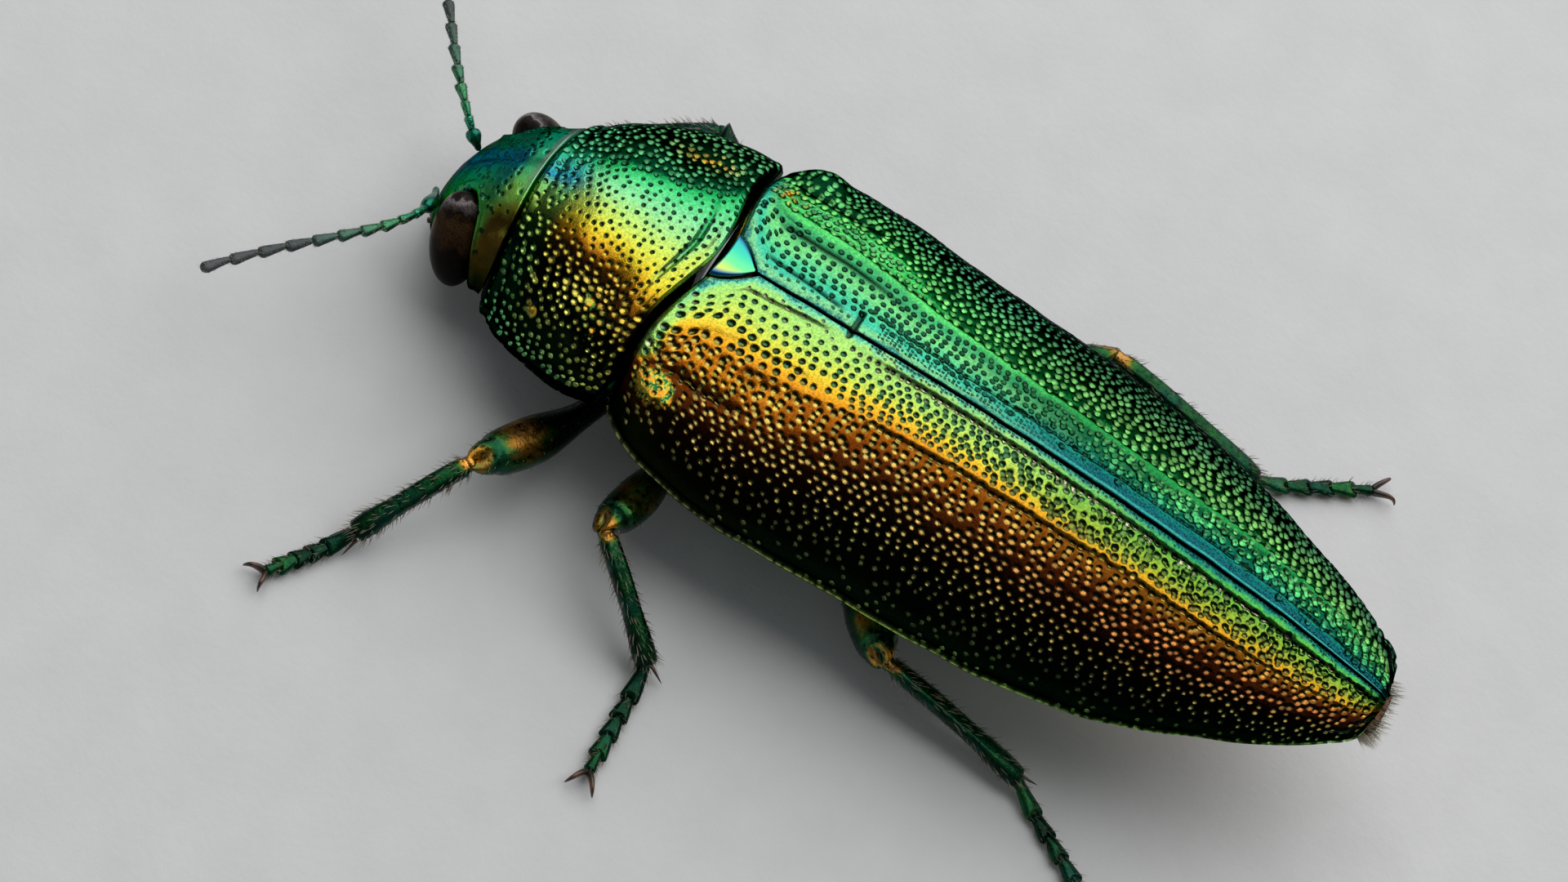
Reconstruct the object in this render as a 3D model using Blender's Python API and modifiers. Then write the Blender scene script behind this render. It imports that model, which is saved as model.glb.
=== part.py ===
"""A jewel beetle (family Buprestidae) standing on its six feet, life size.

The head points along -Y and the beetle's left side is +X. Every plate of the body, every length of
each leg and each feeler is a closed solid of its own. Inside this file lengths are in millimetres,
Y = 0 is the front edge of the wing cases at the midline and Z = 0 is the level of their side edge at
the shoulder. One empty carries all the solids. It sets the feet on Z = 0, with the origin on the
floor under the middle of the bounding box.
"""

import math

import bmesh
import bpy
import numpy as np
from mathutils import Euler, Matrix, Vector

MM = 0.001
GAP = 0.1  # clearance between neighbouring solids
GROOVE = 0.3  # width of the groove between the pronotum and the wing cases

# Body
ELYTRA_LENGTH = 29.5
SHELL = 0.55  # thickness of a wing case
PRONOTUM_LENGTH = 6.9
HEAD_FRONT = -9.8
HEAD_TURN = -5  # degrees about the vertical: the nose points a little to the beetle's right
NECK_Y = -8.0
TAIL_END = 30.4
CHEST_END = 9.6  # where the thorax meets the first belly segment
BELLY_JOINTS = (CHEST_END, 14.6, 18.8, 22.6, 26.2, TAIL_END)
SCUTELLUM_LENGTH = 1.3
SCUTELLUM_HALF_WIDTH = 1.15
SCUTELLUM_RISE = 0.06  # over the wing cases
SCUTELLUM_HALF_DEPTH = 0.25
SCUTELLUM_FULLNESS = 0.6  # exponent of its cross-section: 1 is an ellipse, and less is boxier
EYE_CENTRE = (2.8, NECK_Y, -1.7)
EYE_RADII = (1.0, 1.0, 1.95)
EYE_LEAN = (20, -24)  # degrees: backwards at its lower end, and inwards at its upper end
JAW_CENTRE = (0, -9.45, -4.35)
JAW_RADII = (1.0, 0.45, 0.45)
JAW_LEAN = 25

# Legs
FLOOR = -5.4
HIP_X = 3.3
HIP_HEIGHT = -4.45
COXA_ROOT = (0.75, 0.35)  # the coxa's inner end: its distance from the midline, and its rise over the hip
COXA_RADII = (1.25, 0.7, 0.6)
HIP_CLEARANCE = 0.12
KNEE_CLEARANCES = (0.25, 0.4)  # what the femur and the tibia stop short of the knee's centre
FEMUR_FLATNESS = 0.85  # width over height
FEMUR_BOW = 0.3
TIBIA_FLATNESS = 0.8
TIBIA_BOW = 0.2
ANKLE_HEIGHT = 0.75
TARSUS_RADIUS = 0.34
TARSUS_HEIGHT = 0.21  # the foot's middle line over the floor, low enough for a flat sole
TARSUS_SEGMENTS = 5
TARSUS_SHARE = 0.86  # of the way from ankle to claw tips, which the segments take up
TARSUS_STATIONS = ((0.04, 0.65), (0.5, 0.95), (0.86, 1.15))  # place along a segment, and relative width
ANKLE_RISE = 0.35  # what the first segment rises towards the ankle
CLAW_RADII = (0.26, 0.16)  # at root and tip
CLAW_SPREAD = 0.5
CLAW_HEIGHT = 0.36
CLAW_ARCH = 0.18
# The Y of each leg's coxa and hip, then its knee, and the spots on the floor below ankle and toe.
LEGS = {
    "fore_left": (-1.4, -0.5, (9.8, -3.05, -2.6), (13.9, -5.3), (17.4, -7.4)),
    "mid_left": (2.6, 2.6, (9.5, 2.1, -2.1), (12.0, 6.2), (17.4, 6.5)),
    "hind_left": (8.6, 9.4, (7.4, 13.2, -2.8), (7.5, 20.0), (10.4, 25.0)),
    "fore_right": (-1.4, -0.5, (-8.7, -2.3, -2.8), (-6.5, -6.4), (-3.2, -9.3)),
    "mid_right": (2.6, 2.6, (-9.1, 5.4, -2.7), (-9.3, 11.4), (-9.9, 16.8)),
    "hind_right": (8.6, 9.4, (-9.3, 14.6, -2.1), (-9.8, 22.3), (-13.2, 27.2)),
}

# Feelers
FEELER_SEGMENTS = 11
FEELER_RADIUS = 0.26
FEELER_TAPER = 0.08
SCAPE_SHARE = 0.13  # of the feeler's length
SCAPE_STATIONS = ((0, 0.8), (0.5, 1.25), (1, 0.9))  # place along the scape, and relative width
FEELER_STATIONS = ((0.06, 0.8), (0.75, 1.15), (0.97, 0.95))  # the same for each later segment
# Each feeler's root and tip, with the two points between that bend it.
FEELERS = {
    "left": ((1.2, -9.95, -2.4), (4.2, -9.2, -0.4), (6.5, -12.6, -0.9), (10.4, -15.0, -0.8)),
    "right": ((-1.6, -9.75, -2.3), (-1.7, -10.7, -1.2), (-4.6, -13.2, -0.9), (-8.2, -15.6, -0.9)),
}

COLOURS = {  # base colour, metallic, roughness
    "green": ((0.04, 0.40, 0.13), 0.9, 0.28),
    "copper": ((0.50, 0.36, 0.05), 0.9, 0.28),
    "belly": ((0.10, 0.26, 0.08), 0.85, 0.35),
    "leg": ((0.05, 0.22, 0.08), 0.85, 0.35),
    "eye": ((0.09, 0.05, 0.02), 0.0, 0.15),
    "feeler": ((0.05, 0.09, 0.07), 0.6, 0.45),
    "claw": ((0.03, 0.02, 0.015), 0.1, 0.35),
}


def curve_through(*stops):
    """A smooth function through (place, value) stops, flat beyond them: monotone cubic spans."""
    at, value = np.array(stops, float).T
    step = np.diff(value) / np.diff(at)
    slope = np.concatenate([[step[0]], (step[1:] + step[:-1]) / 2, [step[-1]]])
    slope[1:-1][step[1:] * step[:-1] <= 0] = 0
    slope[:-1] = np.where(np.abs(slope[:-1]) > 3 * np.abs(step), 3 * step, slope[:-1])
    slope[1:] = np.where(np.abs(slope[1:]) > 3 * np.abs(step), 3 * step, slope[1:])

    def value_at(t):
        t = min(max(t, at[0]), at[-1])
        i = min(max(int(np.searchsorted(at, t, "right")) - 1, 0), len(at) - 2)
        span = at[i + 1] - at[i]
        u = (t - at[i]) / span
        return float(
            value[i] * (1 + 2 * u) * (1 - u) ** 2
            + value[i + 1] * (3 - 2 * u) * u**2
            + span * u * (1 - u) * (slope[i] * (1 - u) - slope[i + 1] * u)
        )

    return value_at


# The body's outline from above (half widths) and from the side (heights), by Y
elytra_half_width = curve_through(
    (0, 6.35), (0.9, 7.15), (2.4, 7.65), (5, 7.9), (9, 7.65), (13, 7.45), (17, 7.1), (21, 6.25), (24, 5.05),
    (26.5, 3.9), (28.3, 2.7), (29.2, 1.75), (29.5, 0.9)
)
elytra_top = curve_through(
    (0, 2.9), (2, 3.0), (6, 3.2), (12, 3.4), (18, 3.25), (23, 2.9), (27, 2.35), (29.5, 1.85)
)
elytra_edge = curve_through((0, -0.2), (4, -0.6), (8, -0.8), (18, -0.55), (24, 0.35), (29.5, 1.55))
pronotum_half_width = curve_through((-6.9, 4.35), (-5.6, 5.3), (-3.5, 6.1), (-1.5, 6.45), (0, 6.3))
pronotum_top = curve_through((-6.9, 1.5), (-4, 2.6), (0, 3.0))
pronotum_edge = curve_through((-6.9, -2.1), (-3.5, -0.8), (0, 0.2))
prosternum = curve_through((-6.9, -3.9), (-4.5, -4.2), (0, -4.2))
head_half_width = curve_through((-9.8, 1.0), (-9.5, 1.8), (-8.9, 2.5), (-8, 3.2), (-6.9, 3.9))
head_top = curve_through((-9.8, -2.2), (-9.5, -1.2), (-8.9, -0.2), (-8, 0.8), (-6.9, 1.4))
head_bottom = curve_through((-9.8, -3.9), (-9.2, -4.3), (-8, -4.2), (-6.9, -3.8))
chest_bottom = curve_through((0, -4.1), (4, -4.15), (9.6, -3.9))
belly_bottom = curve_through((9.6, -3.85), (15, -3.4), (21, -2.4), (26, -1.0), (TAIL_END, 0.35))
belly_half_width = curve_through(
    (0, 5.2), (1, 6.0), (2.4, 6.6), (6, 6.95), (11, 6.8), (16, 6.35), (20, 5.65), (24, 4.25), (27, 2.75),
    (29, 1.5), (TAIL_END, 0.6)
)


def base_line(x):
    """Y of the wavy joint between the pronotum and the wing cases, whose middle reaches backwards.

    The forebody is bent a little to the beetle's right, which tilts the joint.
    """
    return 0.08 + 0.28 * math.cos(math.pi * x / 4) - 0.08 * x


def front_line(x):
    """Y of the pronotum's front rim, which lies further back at its sides."""
    return -PRONOTUM_LENGTH + 0.6 * (x / 4.3) ** 2


def scutellum_half_width(y):
    """Half width of the small shield between the wing cases, and 0 behind its tip."""
    along = min(max((y - base_line(0) - GROOVE / 2) / SCUTELLUM_LENGTH, 0), 1)
    return SCUTELLUM_HALF_WIDTH * (1 - along**1.5)


def power(value, exponent):
    return math.copysign(abs(value) ** exponent, value)


def material(name):
    if name not in bpy.data.materials:
        colour, metallic, roughness = COLOURS[name]
        made = bpy.data.materials.new(name)
        made.use_nodes = True
        shader = made.node_tree.nodes["Principled BSDF"]
        shader.inputs["Base Color"].default_value = (*colour, 1.0)
        shader.inputs["Metallic"].default_value = metallic
        shader.inputs["Roughness"].default_value = roughness
    return bpy.data.materials[name]


def collection(name):
    made = bpy.data.collections.new(name)
    bpy.context.scene.collection.children.link(made)
    return made


def add(name, bm, slot, where, parent):
    """A smooth-shaded object of the bmesh's shape, whose material is the slot's."""
    mesh = bpy.data.meshes.new(name)
    bm.to_mesh(mesh)
    bm.free()
    mesh.materials.append(material(slot))
    mesh.shade_smooth()
    mesh.set_sharp_from_angle(angle=math.radians(50))
    made = bpy.data.objects.new(name, mesh)
    made.parent = parent
    where.objects.link(made)
    return made


def grid(rows):
    """An open surface through rows of equally many points."""
    bm = bmesh.new()
    verts = [[bm.verts.new(Vector(p) * MM) for p in row] for row in rows]
    for low, high in zip(verts, verts[1:]):
        for j in range(len(low) - 1):
            bm.faces.new((low[j], low[j + 1], high[j + 1], high[j]))
    return bm


def loft(rings):
    """A closed surface through rings of equally many points, with a fan over each end."""
    bm = bmesh.new()
    rows = [[bm.verts.new(Vector(p) * MM) for p in ring] for ring in rings]
    count = len(rows[0])
    for low, high in zip(rows, rows[1:]):
        for i in range(count):
            j = (i + 1) % count
            bm.faces.new((low[i], low[j], high[j], high[i]))
    for row in (rows[0], rows[-1]):
        middle = bm.verts.new(sum((v.co for v in row), Vector()) / count)
        for i in range(count):
            bm.faces.new((row[i], row[(i + 1) % count], middle))
    bmesh.ops.recalc_face_normals(bm, faces=bm.faces)
    return bm


def ellipsoid(centre, radii, turn=Matrix.Identity(4), segments=14, rings=9):
    bm = bmesh.new()
    bmesh.ops.create_uvsphere(bm, u_segments=segments, v_segments=rings, radius=1)
    place = Matrix.Translation(Vector(centre) * MM)
    bm.transform(place @ turn @ Matrix.Diagonal((*(Vector(radii) * MM), 1)))
    return bm


def lean(around_x, around_y, around_z=0):
    return Euler([math.radians(a) for a in (around_x, around_y, around_z)]).to_matrix().to_4x4()


def add_in_socket(name, slot, body, centre, radii, turn, where, cutters, parent, segments=14, rings=9):
    """An ellipsoid set in a hollow of the body that clears it all round."""
    add(name, ellipsoid(centre, radii, turn, segments, rings), slot, where, parent)
    hollow = ellipsoid(centre, [r + GAP for r in radii], turn, segments, rings)
    boolean(body, add(f"{name}_socket", hollow, slot, cutters, parent), "DIFFERENCE")


def body_ring(half_width, edge, top, bottom, line, points, full=2.0):
    """A cross-section of the body: a dome over the side edge and a keel below it, on line(x)."""
    ring = []
    for i in range(points):
        turn = 2 * math.pi * i / points
        x = half_width * power(math.cos(turn), 2 / full)
        reach = top - edge if math.sin(turn) >= 0 else edge - bottom
        ring.append((x, line(x), edge + reach * power(math.sin(turn), 2 / full)))
    return ring


def between(start, end, steps):
    return [start + (end - start) * i / steps for i in range(steps + 1)]


def turned(point, amount=1):
    """The point, turned with the head about the vertical through the neck."""
    neck = Vector((0, NECK_Y, 0))
    return neck + Matrix.Rotation(math.radians(HEAD_TURN * amount), 3, "Z") @ (Vector(point) - neck)


def head(where, cutters, parent):
    rings = []
    for y in between(HEAD_FRONT, -PRONOTUM_LENGTH - GAP, 7):
        back = (y - HEAD_FRONT) / (-PRONOTUM_LENGTH - HEAD_FRONT)
        edge = 0.35 * head_top(y) + 0.65 * head_bottom(y)

        def line(x, y=y, back=back):
            return y + back**3 * (front_line(x) + PRONOTUM_LENGTH)

        ring = body_ring(head_half_width(y), edge, head_top(y), head_bottom(y), line, 22, 2.3)
        rings.append([turned(point, 1 - back**3) for point in ring])
    made = add("head", loft(rings), "green", where, parent)
    for side, name in ((1, "left"), (-1, "right")):
        centre = turned((side * EYE_CENTRE[0], *EYE_CENTRE[1:]))
        turn = lean(EYE_LEAN[0], side * EYE_LEAN[1], HEAD_TURN)
        add_in_socket(f"eye_{name}", "eye", made, centre, EYE_RADII, turn, where, cutters, parent)
    turn = lean(JAW_LEAN, 0, HEAD_TURN)
    add_in_socket("jaws", "claw", made, turned(JAW_CENTRE), JAW_RADII, turn, where, cutters, parent, 8, 6)


def boolean(target, helper, operation):
    helper.hide_render = True
    helper.display_type = "WIRE"
    modifier = target.modifiers.new(helper.name, "BOOLEAN")
    modifier.operation = operation
    modifier.solver = "EXACT"
    modifier.object = helper


def prothorax(where, parent):
    rings = []
    for y in between(-PRONOTUM_LENGTH, 0, 8):
        back = (y + PRONOTUM_LENGTH) / PRONOTUM_LENGTH

        def line(x, y=y, back=back):
            front = (1 - back) ** 2 * (front_line(x) + PRONOTUM_LENGTH)
            return y + front + back**2 * (base_line(x) - GROOVE / 2)

        heights = (pronotum_edge(y), pronotum_top(y), prosternum(y))
        rings.append(body_ring(pronotum_half_width(y), *heights, line, 30))
    return add("prothorax", loft(rings), "green", where, parent)


def belly_ring(y, bottom, line=None):
    top = elytra_top(y) - SHELL - 2 * GAP
    edge = elytra_edge(y) - GAP
    return body_ring(belly_half_width(y), min(edge, top - 0.3), top, bottom, line or (lambda x: y), 22)


def trunk(where, parent):
    """The thorax behind the pronotum, then the belly's segments, under the wing cases."""
    rings = []
    for y in between(0, CHEST_END, 5):
        front = (1 - y / CHEST_END) ** 2
        rings.append(belly_ring(y, chest_bottom(y), lambda x, y=y, f=front: y + f * (base_line(x) + GAP)))
    chest = add("thorax", loft(rings), "belly", where, parent)
    for number, (start, end) in enumerate(zip(BELLY_JOINTS, BELLY_JOINTS[1:]), 1):
        rings = [belly_ring(y, belly_bottom(y)) for y in between(start + GAP, end, 2)]
        add(f"belly_{number}", loft(rings), "belly", where, parent)
    return chest


def scutellum(where, parent):
    rings = []
    start = base_line(0) + GROOVE / 2
    for y in between(start, start + SCUTELLUM_LENGTH - 0.15, 5):
        half = max(scutellum_half_width(y) - GAP, GAP)
        middle = elytra_top(y) + SCUTELLUM_RISE - SCUTELLUM_HALF_DEPTH
        front = 1 - (y - start) / SCUTELLUM_LENGTH
        ring = []
        for i in range(12):
            turn = 2 * math.pi * i / 12
            x = half * power(math.cos(turn), SCUTELLUM_FULLNESS)
            z = middle + SCUTELLUM_HALF_DEPTH * power(math.sin(turn), SCUTELLUM_FULLNESS)
            ring.append((x, y + front * (base_line(x) - base_line(0)), z))
        rings.append(ring)
    add("scutellum", loft(rings), "green", where, parent)


def elytron(side, where, parent):
    """One wing case: a domed sheet from the suture out to its side edge, made solid inwards."""
    rows = []
    for step in between(0, 1, 22):
        v = 1 - (1 - step) ** 1.3
        y = v * ELYTRA_LENGTH
        front = (1 - v) ** 4
        inner = scutellum_half_width(y + front * base_line(side) + GROOVE / 2) + GAP / 2
        row = []
        for turn in between(math.asin(inner / elytra_half_width(y)), math.pi / 2, 11):
            x = side * elytra_half_width(y) * math.sin(turn)
            z = elytra_edge(y) + (elytra_top(y) - elytra_edge(y)) * math.cos(turn)
            row.append((x, y + front * base_line(x) + GROOVE / 2, z))
        rows.append(row[::side])
    name = "left" if side > 0 else "right"
    made = add(f"elytron_{name}", grid(rows), "copper" if side > 0 else "green", where, parent)
    thick = made.modifiers.new("shell", "SOLIDIFY")
    thick.thickness = SHELL * MM
    thick.offset = -1


def tube(stations, up, points, flatten_at=None):
    """A closed limb through (centre, half width, half height) stations, never below flatten_at."""
    centres = [Vector(s[0]) for s in stations]
    rings = []
    for i, (centre, wide, high) in enumerate(stations):
        along = centres[min(i + 1, len(centres) - 1)] - centres[max(i - 1, 0)]
        side = along.cross(Vector(up)).normalized()
        top = side.cross(along).normalized()
        ring = []
        for k in range(points):
            turn = 2 * math.pi * k / points
            point = Vector(centre) + side * wide * math.cos(turn) + top * high * math.sin(turn)
            if flatten_at is not None:
                point.z = max(point.z, flatten_at)
            ring.append(point)
        rings.append(ring)
    return loft(rings)


def arc(start, end, bulge, steps):
    """Points from start to end along a shallow arch that rises by the bulge vector."""
    start, end, bulge = Vector(start), Vector(end), Vector(bulge)
    return [start.lerp(end, t) + bulge * (4 * t * (1 - t)) for t in between(0, 1, steps)]


femur_radius = curve_through((0, 0.4), (0.3, 0.55), (0.65, 0.92), (0.88, 0.8), (1, 0.4))
tibia_radius = curve_through((0, 0.3), (0.12, 0.42), (0.6, 0.36), (0.92, 0.48), (1, 0.34))


def leg(name, places, body, where, cutters, parent):
    coxa_y, hip_y, knee, ankle, toe = places
    side = math.copysign(1, knee[0])
    root = Vector((side * COXA_ROOT[0], coxa_y, HIP_HEIGHT + COXA_ROOT[1]))
    hip = Vector((side * HIP_X, hip_y, HIP_HEIGHT))
    knee = Vector(knee)
    ankle = Vector((*ankle, FLOOR + ANKLE_HEIGHT))
    toe = Vector((*toe, FLOOR + TARSUS_HEIGHT))

    out = (hip - root).normalized()
    centre = hip - out * (COXA_RADII[0] + HIP_CLEARANCE)
    turn = out.to_track_quat("X", "Z").to_matrix().to_4x4()
    add_in_socket(f"coxa_{name}", "belly", body, centre, COXA_RADII, turn, where, cutters, parent, 8, 6)

    thigh, shin = (knee - hip).normalized(), (ankle - knee).normalized()
    path = arc(hip, knee - thigh * KNEE_CLEARANCES[0], (0, FEMUR_BOW, 0), 7)
    stations = [(p, femur_radius(i / 7) * FEMUR_FLATNESS, femur_radius(i / 7)) for i, p in enumerate(path)]
    add(f"femur_{name}", tube(stations, thigh.cross(shin), 8), "leg", where, parent)
    path = arc(knee + shin * KNEE_CLEARANCES[1], ankle - shin * GAP, (0, 0, TIBIA_BOW), 6)
    stations = [(p, tibia_radius(i / 6), tibia_radius(i / 6) * TIBIA_FLATNESS) for i, p in enumerate(path)]
    add(f"tibia_{name}", tube(stations, (0, 0, 1), 8), "leg", where, parent)

    ahead = ((toe - ankle) * Vector((1, 1, 0))).normalized()
    start = ankle * Vector((1, 1, 0)) + Vector((0, 0, toe.z)) + ahead * 4 * GAP
    stations = []
    for segment in range(TARSUS_SEGMENTS):
        for part, wide in TARSUS_STATIONS:
            along = (segment + part) / TARSUS_SEGMENTS * TARSUS_SHARE
            rise = ANKLE_RISE * max(0, 1 - along * 4) ** 2
            centre = start.lerp(toe, along) + Vector((0, 0, rise))
            stations.append((centre, TARSUS_RADIUS * wide, TARSUS_RADIUS * 0.95 * wide**0.5))
    add(f"tarsus_{name}", tube(stations, (0, 0, 1), 6, FLOOR), "leg", where, parent)
    claws(name, start.lerp(toe, TARSUS_SHARE), toe, where, cutters, parent)


def claws(name, start, toe, where, cutters, parent):
    """A pair of hooked claws as one solid: two horns that part from a common root."""
    ahead = (toe - start).normalized()
    out = ahead.cross(Vector((0, 0, 1)))
    reach = (toe - start).length
    horns = []
    for side in (-1, 1):
        stations = []
        for t in between(0, 1, 3):
            centre = start + ahead * (GAP + reach * t) + out * side * (GAP + CLAW_SPREAD * t**0.7)
            centre.z = FLOOR + CLAW_HEIGHT + CLAW_ARCH * math.sin(math.pi * t) - GAP * t / 2
            radius = CLAW_RADII[0] + (CLAW_RADII[1] - CLAW_RADII[0]) * t
            stations.append((centre, radius, radius))
        horns.append(tube(stations, (0, 0, 1), 6, FLOOR))
    made = add(f"claws_{name}", horns[0], "claw", where, parent)
    second = add(f"claw_{name}_second", horns[1], "claw", cutters, parent)
    boolean(made, second, "UNION")


def feeler(name, points, where, parent):
    """The scape, then a chain of saw-toothed segments along a curve through the four points."""
    a, b, c, d = (Vector(p) for p in points)
    side = Vector((0, 0, 1)).cross(d - a).normalized()

    def spot(t):
        return a * (1 - t) ** 3 + b * 3 * t * (1 - t) ** 2 + c * 3 * t**2 * (1 - t) + d * t**3

    stations = [(spot(SCAPE_SHARE * t), FEELER_RADIUS * w, FEELER_RADIUS * w) for t, w in SCAPE_STATIONS]
    add(f"scape_{name}", tube(stations, (0, 0, 1), 8), "feeler", where, parent)
    first = SCAPE_SHARE + 0.015
    stations = []
    for segment in range(FEELER_SEGMENTS - 1):
        for part, wide in FEELER_STATIONS:
            t = first + (1 - first) * (segment + part) / (FEELER_SEGMENTS - 1)
            size = FEELER_RADIUS * (1 - FEELER_TAPER * t)
            tooth = side * size * 0.25 * (wide - 0.8)
            stations.append((spot(t) + tooth, size * wide, size * (0.96 + 0.1 * (wide - 1))))
    add(f"feeler_{name}", tube(stations, (0, 0, 1), 6), "feeler", where, parent)


def stand(where, stance):
    """Moves the empty so that the origin is on the floor, under the middle of the bounding box."""
    bpy.context.view_layer.update()
    graph = bpy.context.evaluated_depsgraph_get()
    solids = [obj.evaluated_get(graph) for obj in where.objects if obj.type == "MESH"]
    corners = np.array([obj.matrix_world @ Vector(corner) for obj in solids for corner in obj.bound_box])
    middle = (corners.min(axis=0) + corners.max(axis=0)) / 2
    stance.location = (-middle[0], -middle[1], -FLOOR * MM)


def main():
    for obj in list(bpy.data.objects):
        bpy.data.objects.remove(obj)
    beetle, cutters = collection("jewel_beetle"), collection("cutters")
    stance = bpy.data.objects.new("stance", None)
    beetle.objects.link(stance)
    head(beetle, cutters, stance)
    front = prothorax(beetle, stance)
    middle = trunk(beetle, stance)
    scutellum(beetle, stance)
    for side in (1, -1):
        elytron(side, beetle, stance)
    for name, places in LEGS.items():
        leg(name, places, front if name.startswith("fore") else middle, beetle, cutters, stance)
    for name, points in FEELERS.items():
        feeler(name, points, beetle, stance)
    stand(beetle, stance)


main()
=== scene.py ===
"""The looks of a jewel beetle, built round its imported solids.

Lengths are in millimetres in the beetle's own frame, as in the CAD source: the head points along -Y,
its left side is +X, and Y = 0 is the front edge of the wing cases. ORIGIN moves them to the part's frame.
"""

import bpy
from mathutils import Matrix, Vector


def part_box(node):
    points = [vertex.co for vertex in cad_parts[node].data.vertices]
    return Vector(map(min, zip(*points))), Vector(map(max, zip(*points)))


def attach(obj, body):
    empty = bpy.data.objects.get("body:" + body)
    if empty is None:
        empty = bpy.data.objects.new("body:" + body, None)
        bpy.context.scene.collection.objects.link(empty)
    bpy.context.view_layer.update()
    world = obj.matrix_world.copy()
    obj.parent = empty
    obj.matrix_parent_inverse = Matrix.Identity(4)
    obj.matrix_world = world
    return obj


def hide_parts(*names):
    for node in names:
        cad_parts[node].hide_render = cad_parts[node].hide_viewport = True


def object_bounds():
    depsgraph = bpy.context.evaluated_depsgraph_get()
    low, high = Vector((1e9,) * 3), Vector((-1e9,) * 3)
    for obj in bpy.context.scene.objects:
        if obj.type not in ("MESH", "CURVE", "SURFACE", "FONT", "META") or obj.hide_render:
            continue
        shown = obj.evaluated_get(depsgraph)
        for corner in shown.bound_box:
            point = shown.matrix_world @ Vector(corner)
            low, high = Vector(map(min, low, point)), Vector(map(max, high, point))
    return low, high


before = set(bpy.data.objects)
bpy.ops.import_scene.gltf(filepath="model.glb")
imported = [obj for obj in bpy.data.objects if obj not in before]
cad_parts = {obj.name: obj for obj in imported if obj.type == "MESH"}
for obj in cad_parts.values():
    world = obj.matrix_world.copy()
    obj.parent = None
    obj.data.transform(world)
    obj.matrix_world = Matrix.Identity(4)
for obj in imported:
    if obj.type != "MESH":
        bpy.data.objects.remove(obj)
cad_box = [list(corner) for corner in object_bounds()]

import functools
import math

import bpy
import numpy as np
from mathutils import Euler, Matrix, Vector

MM = 0.001
UP = (0, 0, 1)
FLOOR = -5.4
ELYTRA_LENGTH = 29.5
PRONOTUM_LENGTH = 6.9
HEAD_FRONT = -9.8
HEAD_TURN = -5  # degrees
NECK = np.array([0, -8.0, 0])
GROOVE = 0.3
GAP = 0.1
SHELL = 0.45
EYE = (2.8, -8.0, -1.7)
EYE_RADII = (1.0, 1.0, 1.95)
EYE_LEAN = (20, -24)
SMOOTH_MIDDLE = 0.064  # where across the pronotum its smooth back has its middle
GOLD_SPOTS = ((0.465, -2.47), (0.68, -4.6))
SHELL_TINT = (0.10, 0.18, 0.15)

eye_middle = np.array([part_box(f"eye_{side}") for side in ("left", "right")]).mean(axis=(0, 1))
ORIGIN = np.array([eye_middle[0], eye_middle[1] - NECK[1] * MM, -FLOOR * MM])
BACK = (cad_box[1][1] - ORIGIN[1]) / MM - 0.03


def curve(*stops):
    """A smooth function through (place, value) stops, flat beyond them, for numbers and arrays."""
    at, value = np.array(stops, float).T
    step = np.diff(value) / np.diff(at)
    slope = np.concatenate([[step[0]], (step[1:] + step[:-1]) / 2, [step[-1]]])
    slope[1:-1][step[1:] * step[:-1] <= 0] = 0
    slope[:-1] = np.where(np.abs(slope[:-1]) > 3 * np.abs(step), 3 * step, slope[:-1])
    slope[1:] = np.where(np.abs(slope[1:]) > 3 * np.abs(step), 3 * step, slope[1:])

    def value_at(t):
        t = np.clip(t, at[0], at[-1])
        i = np.clip(np.searchsorted(at, t, "right") - 1, 0, len(at) - 2)
        span = at[i + 1] - at[i]
        u = (t - at[i]) / span
        hermite = value[i] * (1 + 2 * u) * (1 - u) ** 2 + value[i + 1] * (3 - 2 * u) * u**2
        return hermite + span * u * (1 - u) * (slope[i] * (1 - u) - slope[i + 1] * u)

    return value_at


elytra_half_width = curve(
    (0, 6.35), (0.9, 7.15), (2.4, 7.65), (5, 7.9), (9, 7.65), (13, 7.45), (17, 7.1), (21, 6.25),
    (24, 5.05), (26.5, 3.9), (28.3, 2.7), (29.2, 1.75), (29.5, 0.9),
)
elytra_top = curve((0, 2.9), (2, 3.0), (6, 3.2), (12, 3.4), (18, 3.25), (23, 2.9), (27, 2.35), (29.5, 1.85))
elytra_edge = curve((0, -0.2), (4, -0.6), (8, -0.8), (18, -0.55), (24, 0.35), (29.5, 1.55))
pronotum_half_width = curve((-6.9, 4.35), (-5.6, 5.3), (-3.5, 6.1), (-1.5, 6.45), (0, 6.3))
pronotum_top = curve((-6.9, 1.5), (-4, 2.6), (0, 3.0))
pronotum_edge = curve((-6.9, -2.1), (-3.5, -0.8), (0, 0.2))
prosternum = curve((-6.9, -3.9), (-4.5, -4.2), (0, -4.2))
head_half_width = curve((-9.8, 1.0), (-9.5, 1.8), (-8.9, 2.5), (-8, 3.2), (-6.9, 3.9))
head_top = curve((-9.8, -2.2), (-9.5, -1.2), (-8.9, -0.2), (-8, 0.8), (-6.9, 1.4))
head_bottom = curve((-9.8, -3.9), (-9.2, -4.3), (-8, -4.2), (-6.9, -3.8))
chest_bottom = curve((0, -4.1), (4, -4.15), (9.6, -3.9))
belly_bottom = curve((9.6, -3.85), (15, -3.4), (21, -2.4), (26, -1.0), (30.4, 0.35))
belly_half_width = curve(
    (0, 5.2), (1, 6.0), (2.4, 6.6), (6, 6.95), (11, 6.8), (16, 6.35), (20, 5.65), (24, 4.25), (27, 2.75),
    (29, 1.5), (30.4, 0.6),
)


def base_line(x):
    return 0.08 + 0.28 * np.cos(np.pi * x / 4) - 0.08 * x


def front_line(x):
    return -PRONOTUM_LENGTH + 0.6 * (x / 4.3) ** 2


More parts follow.
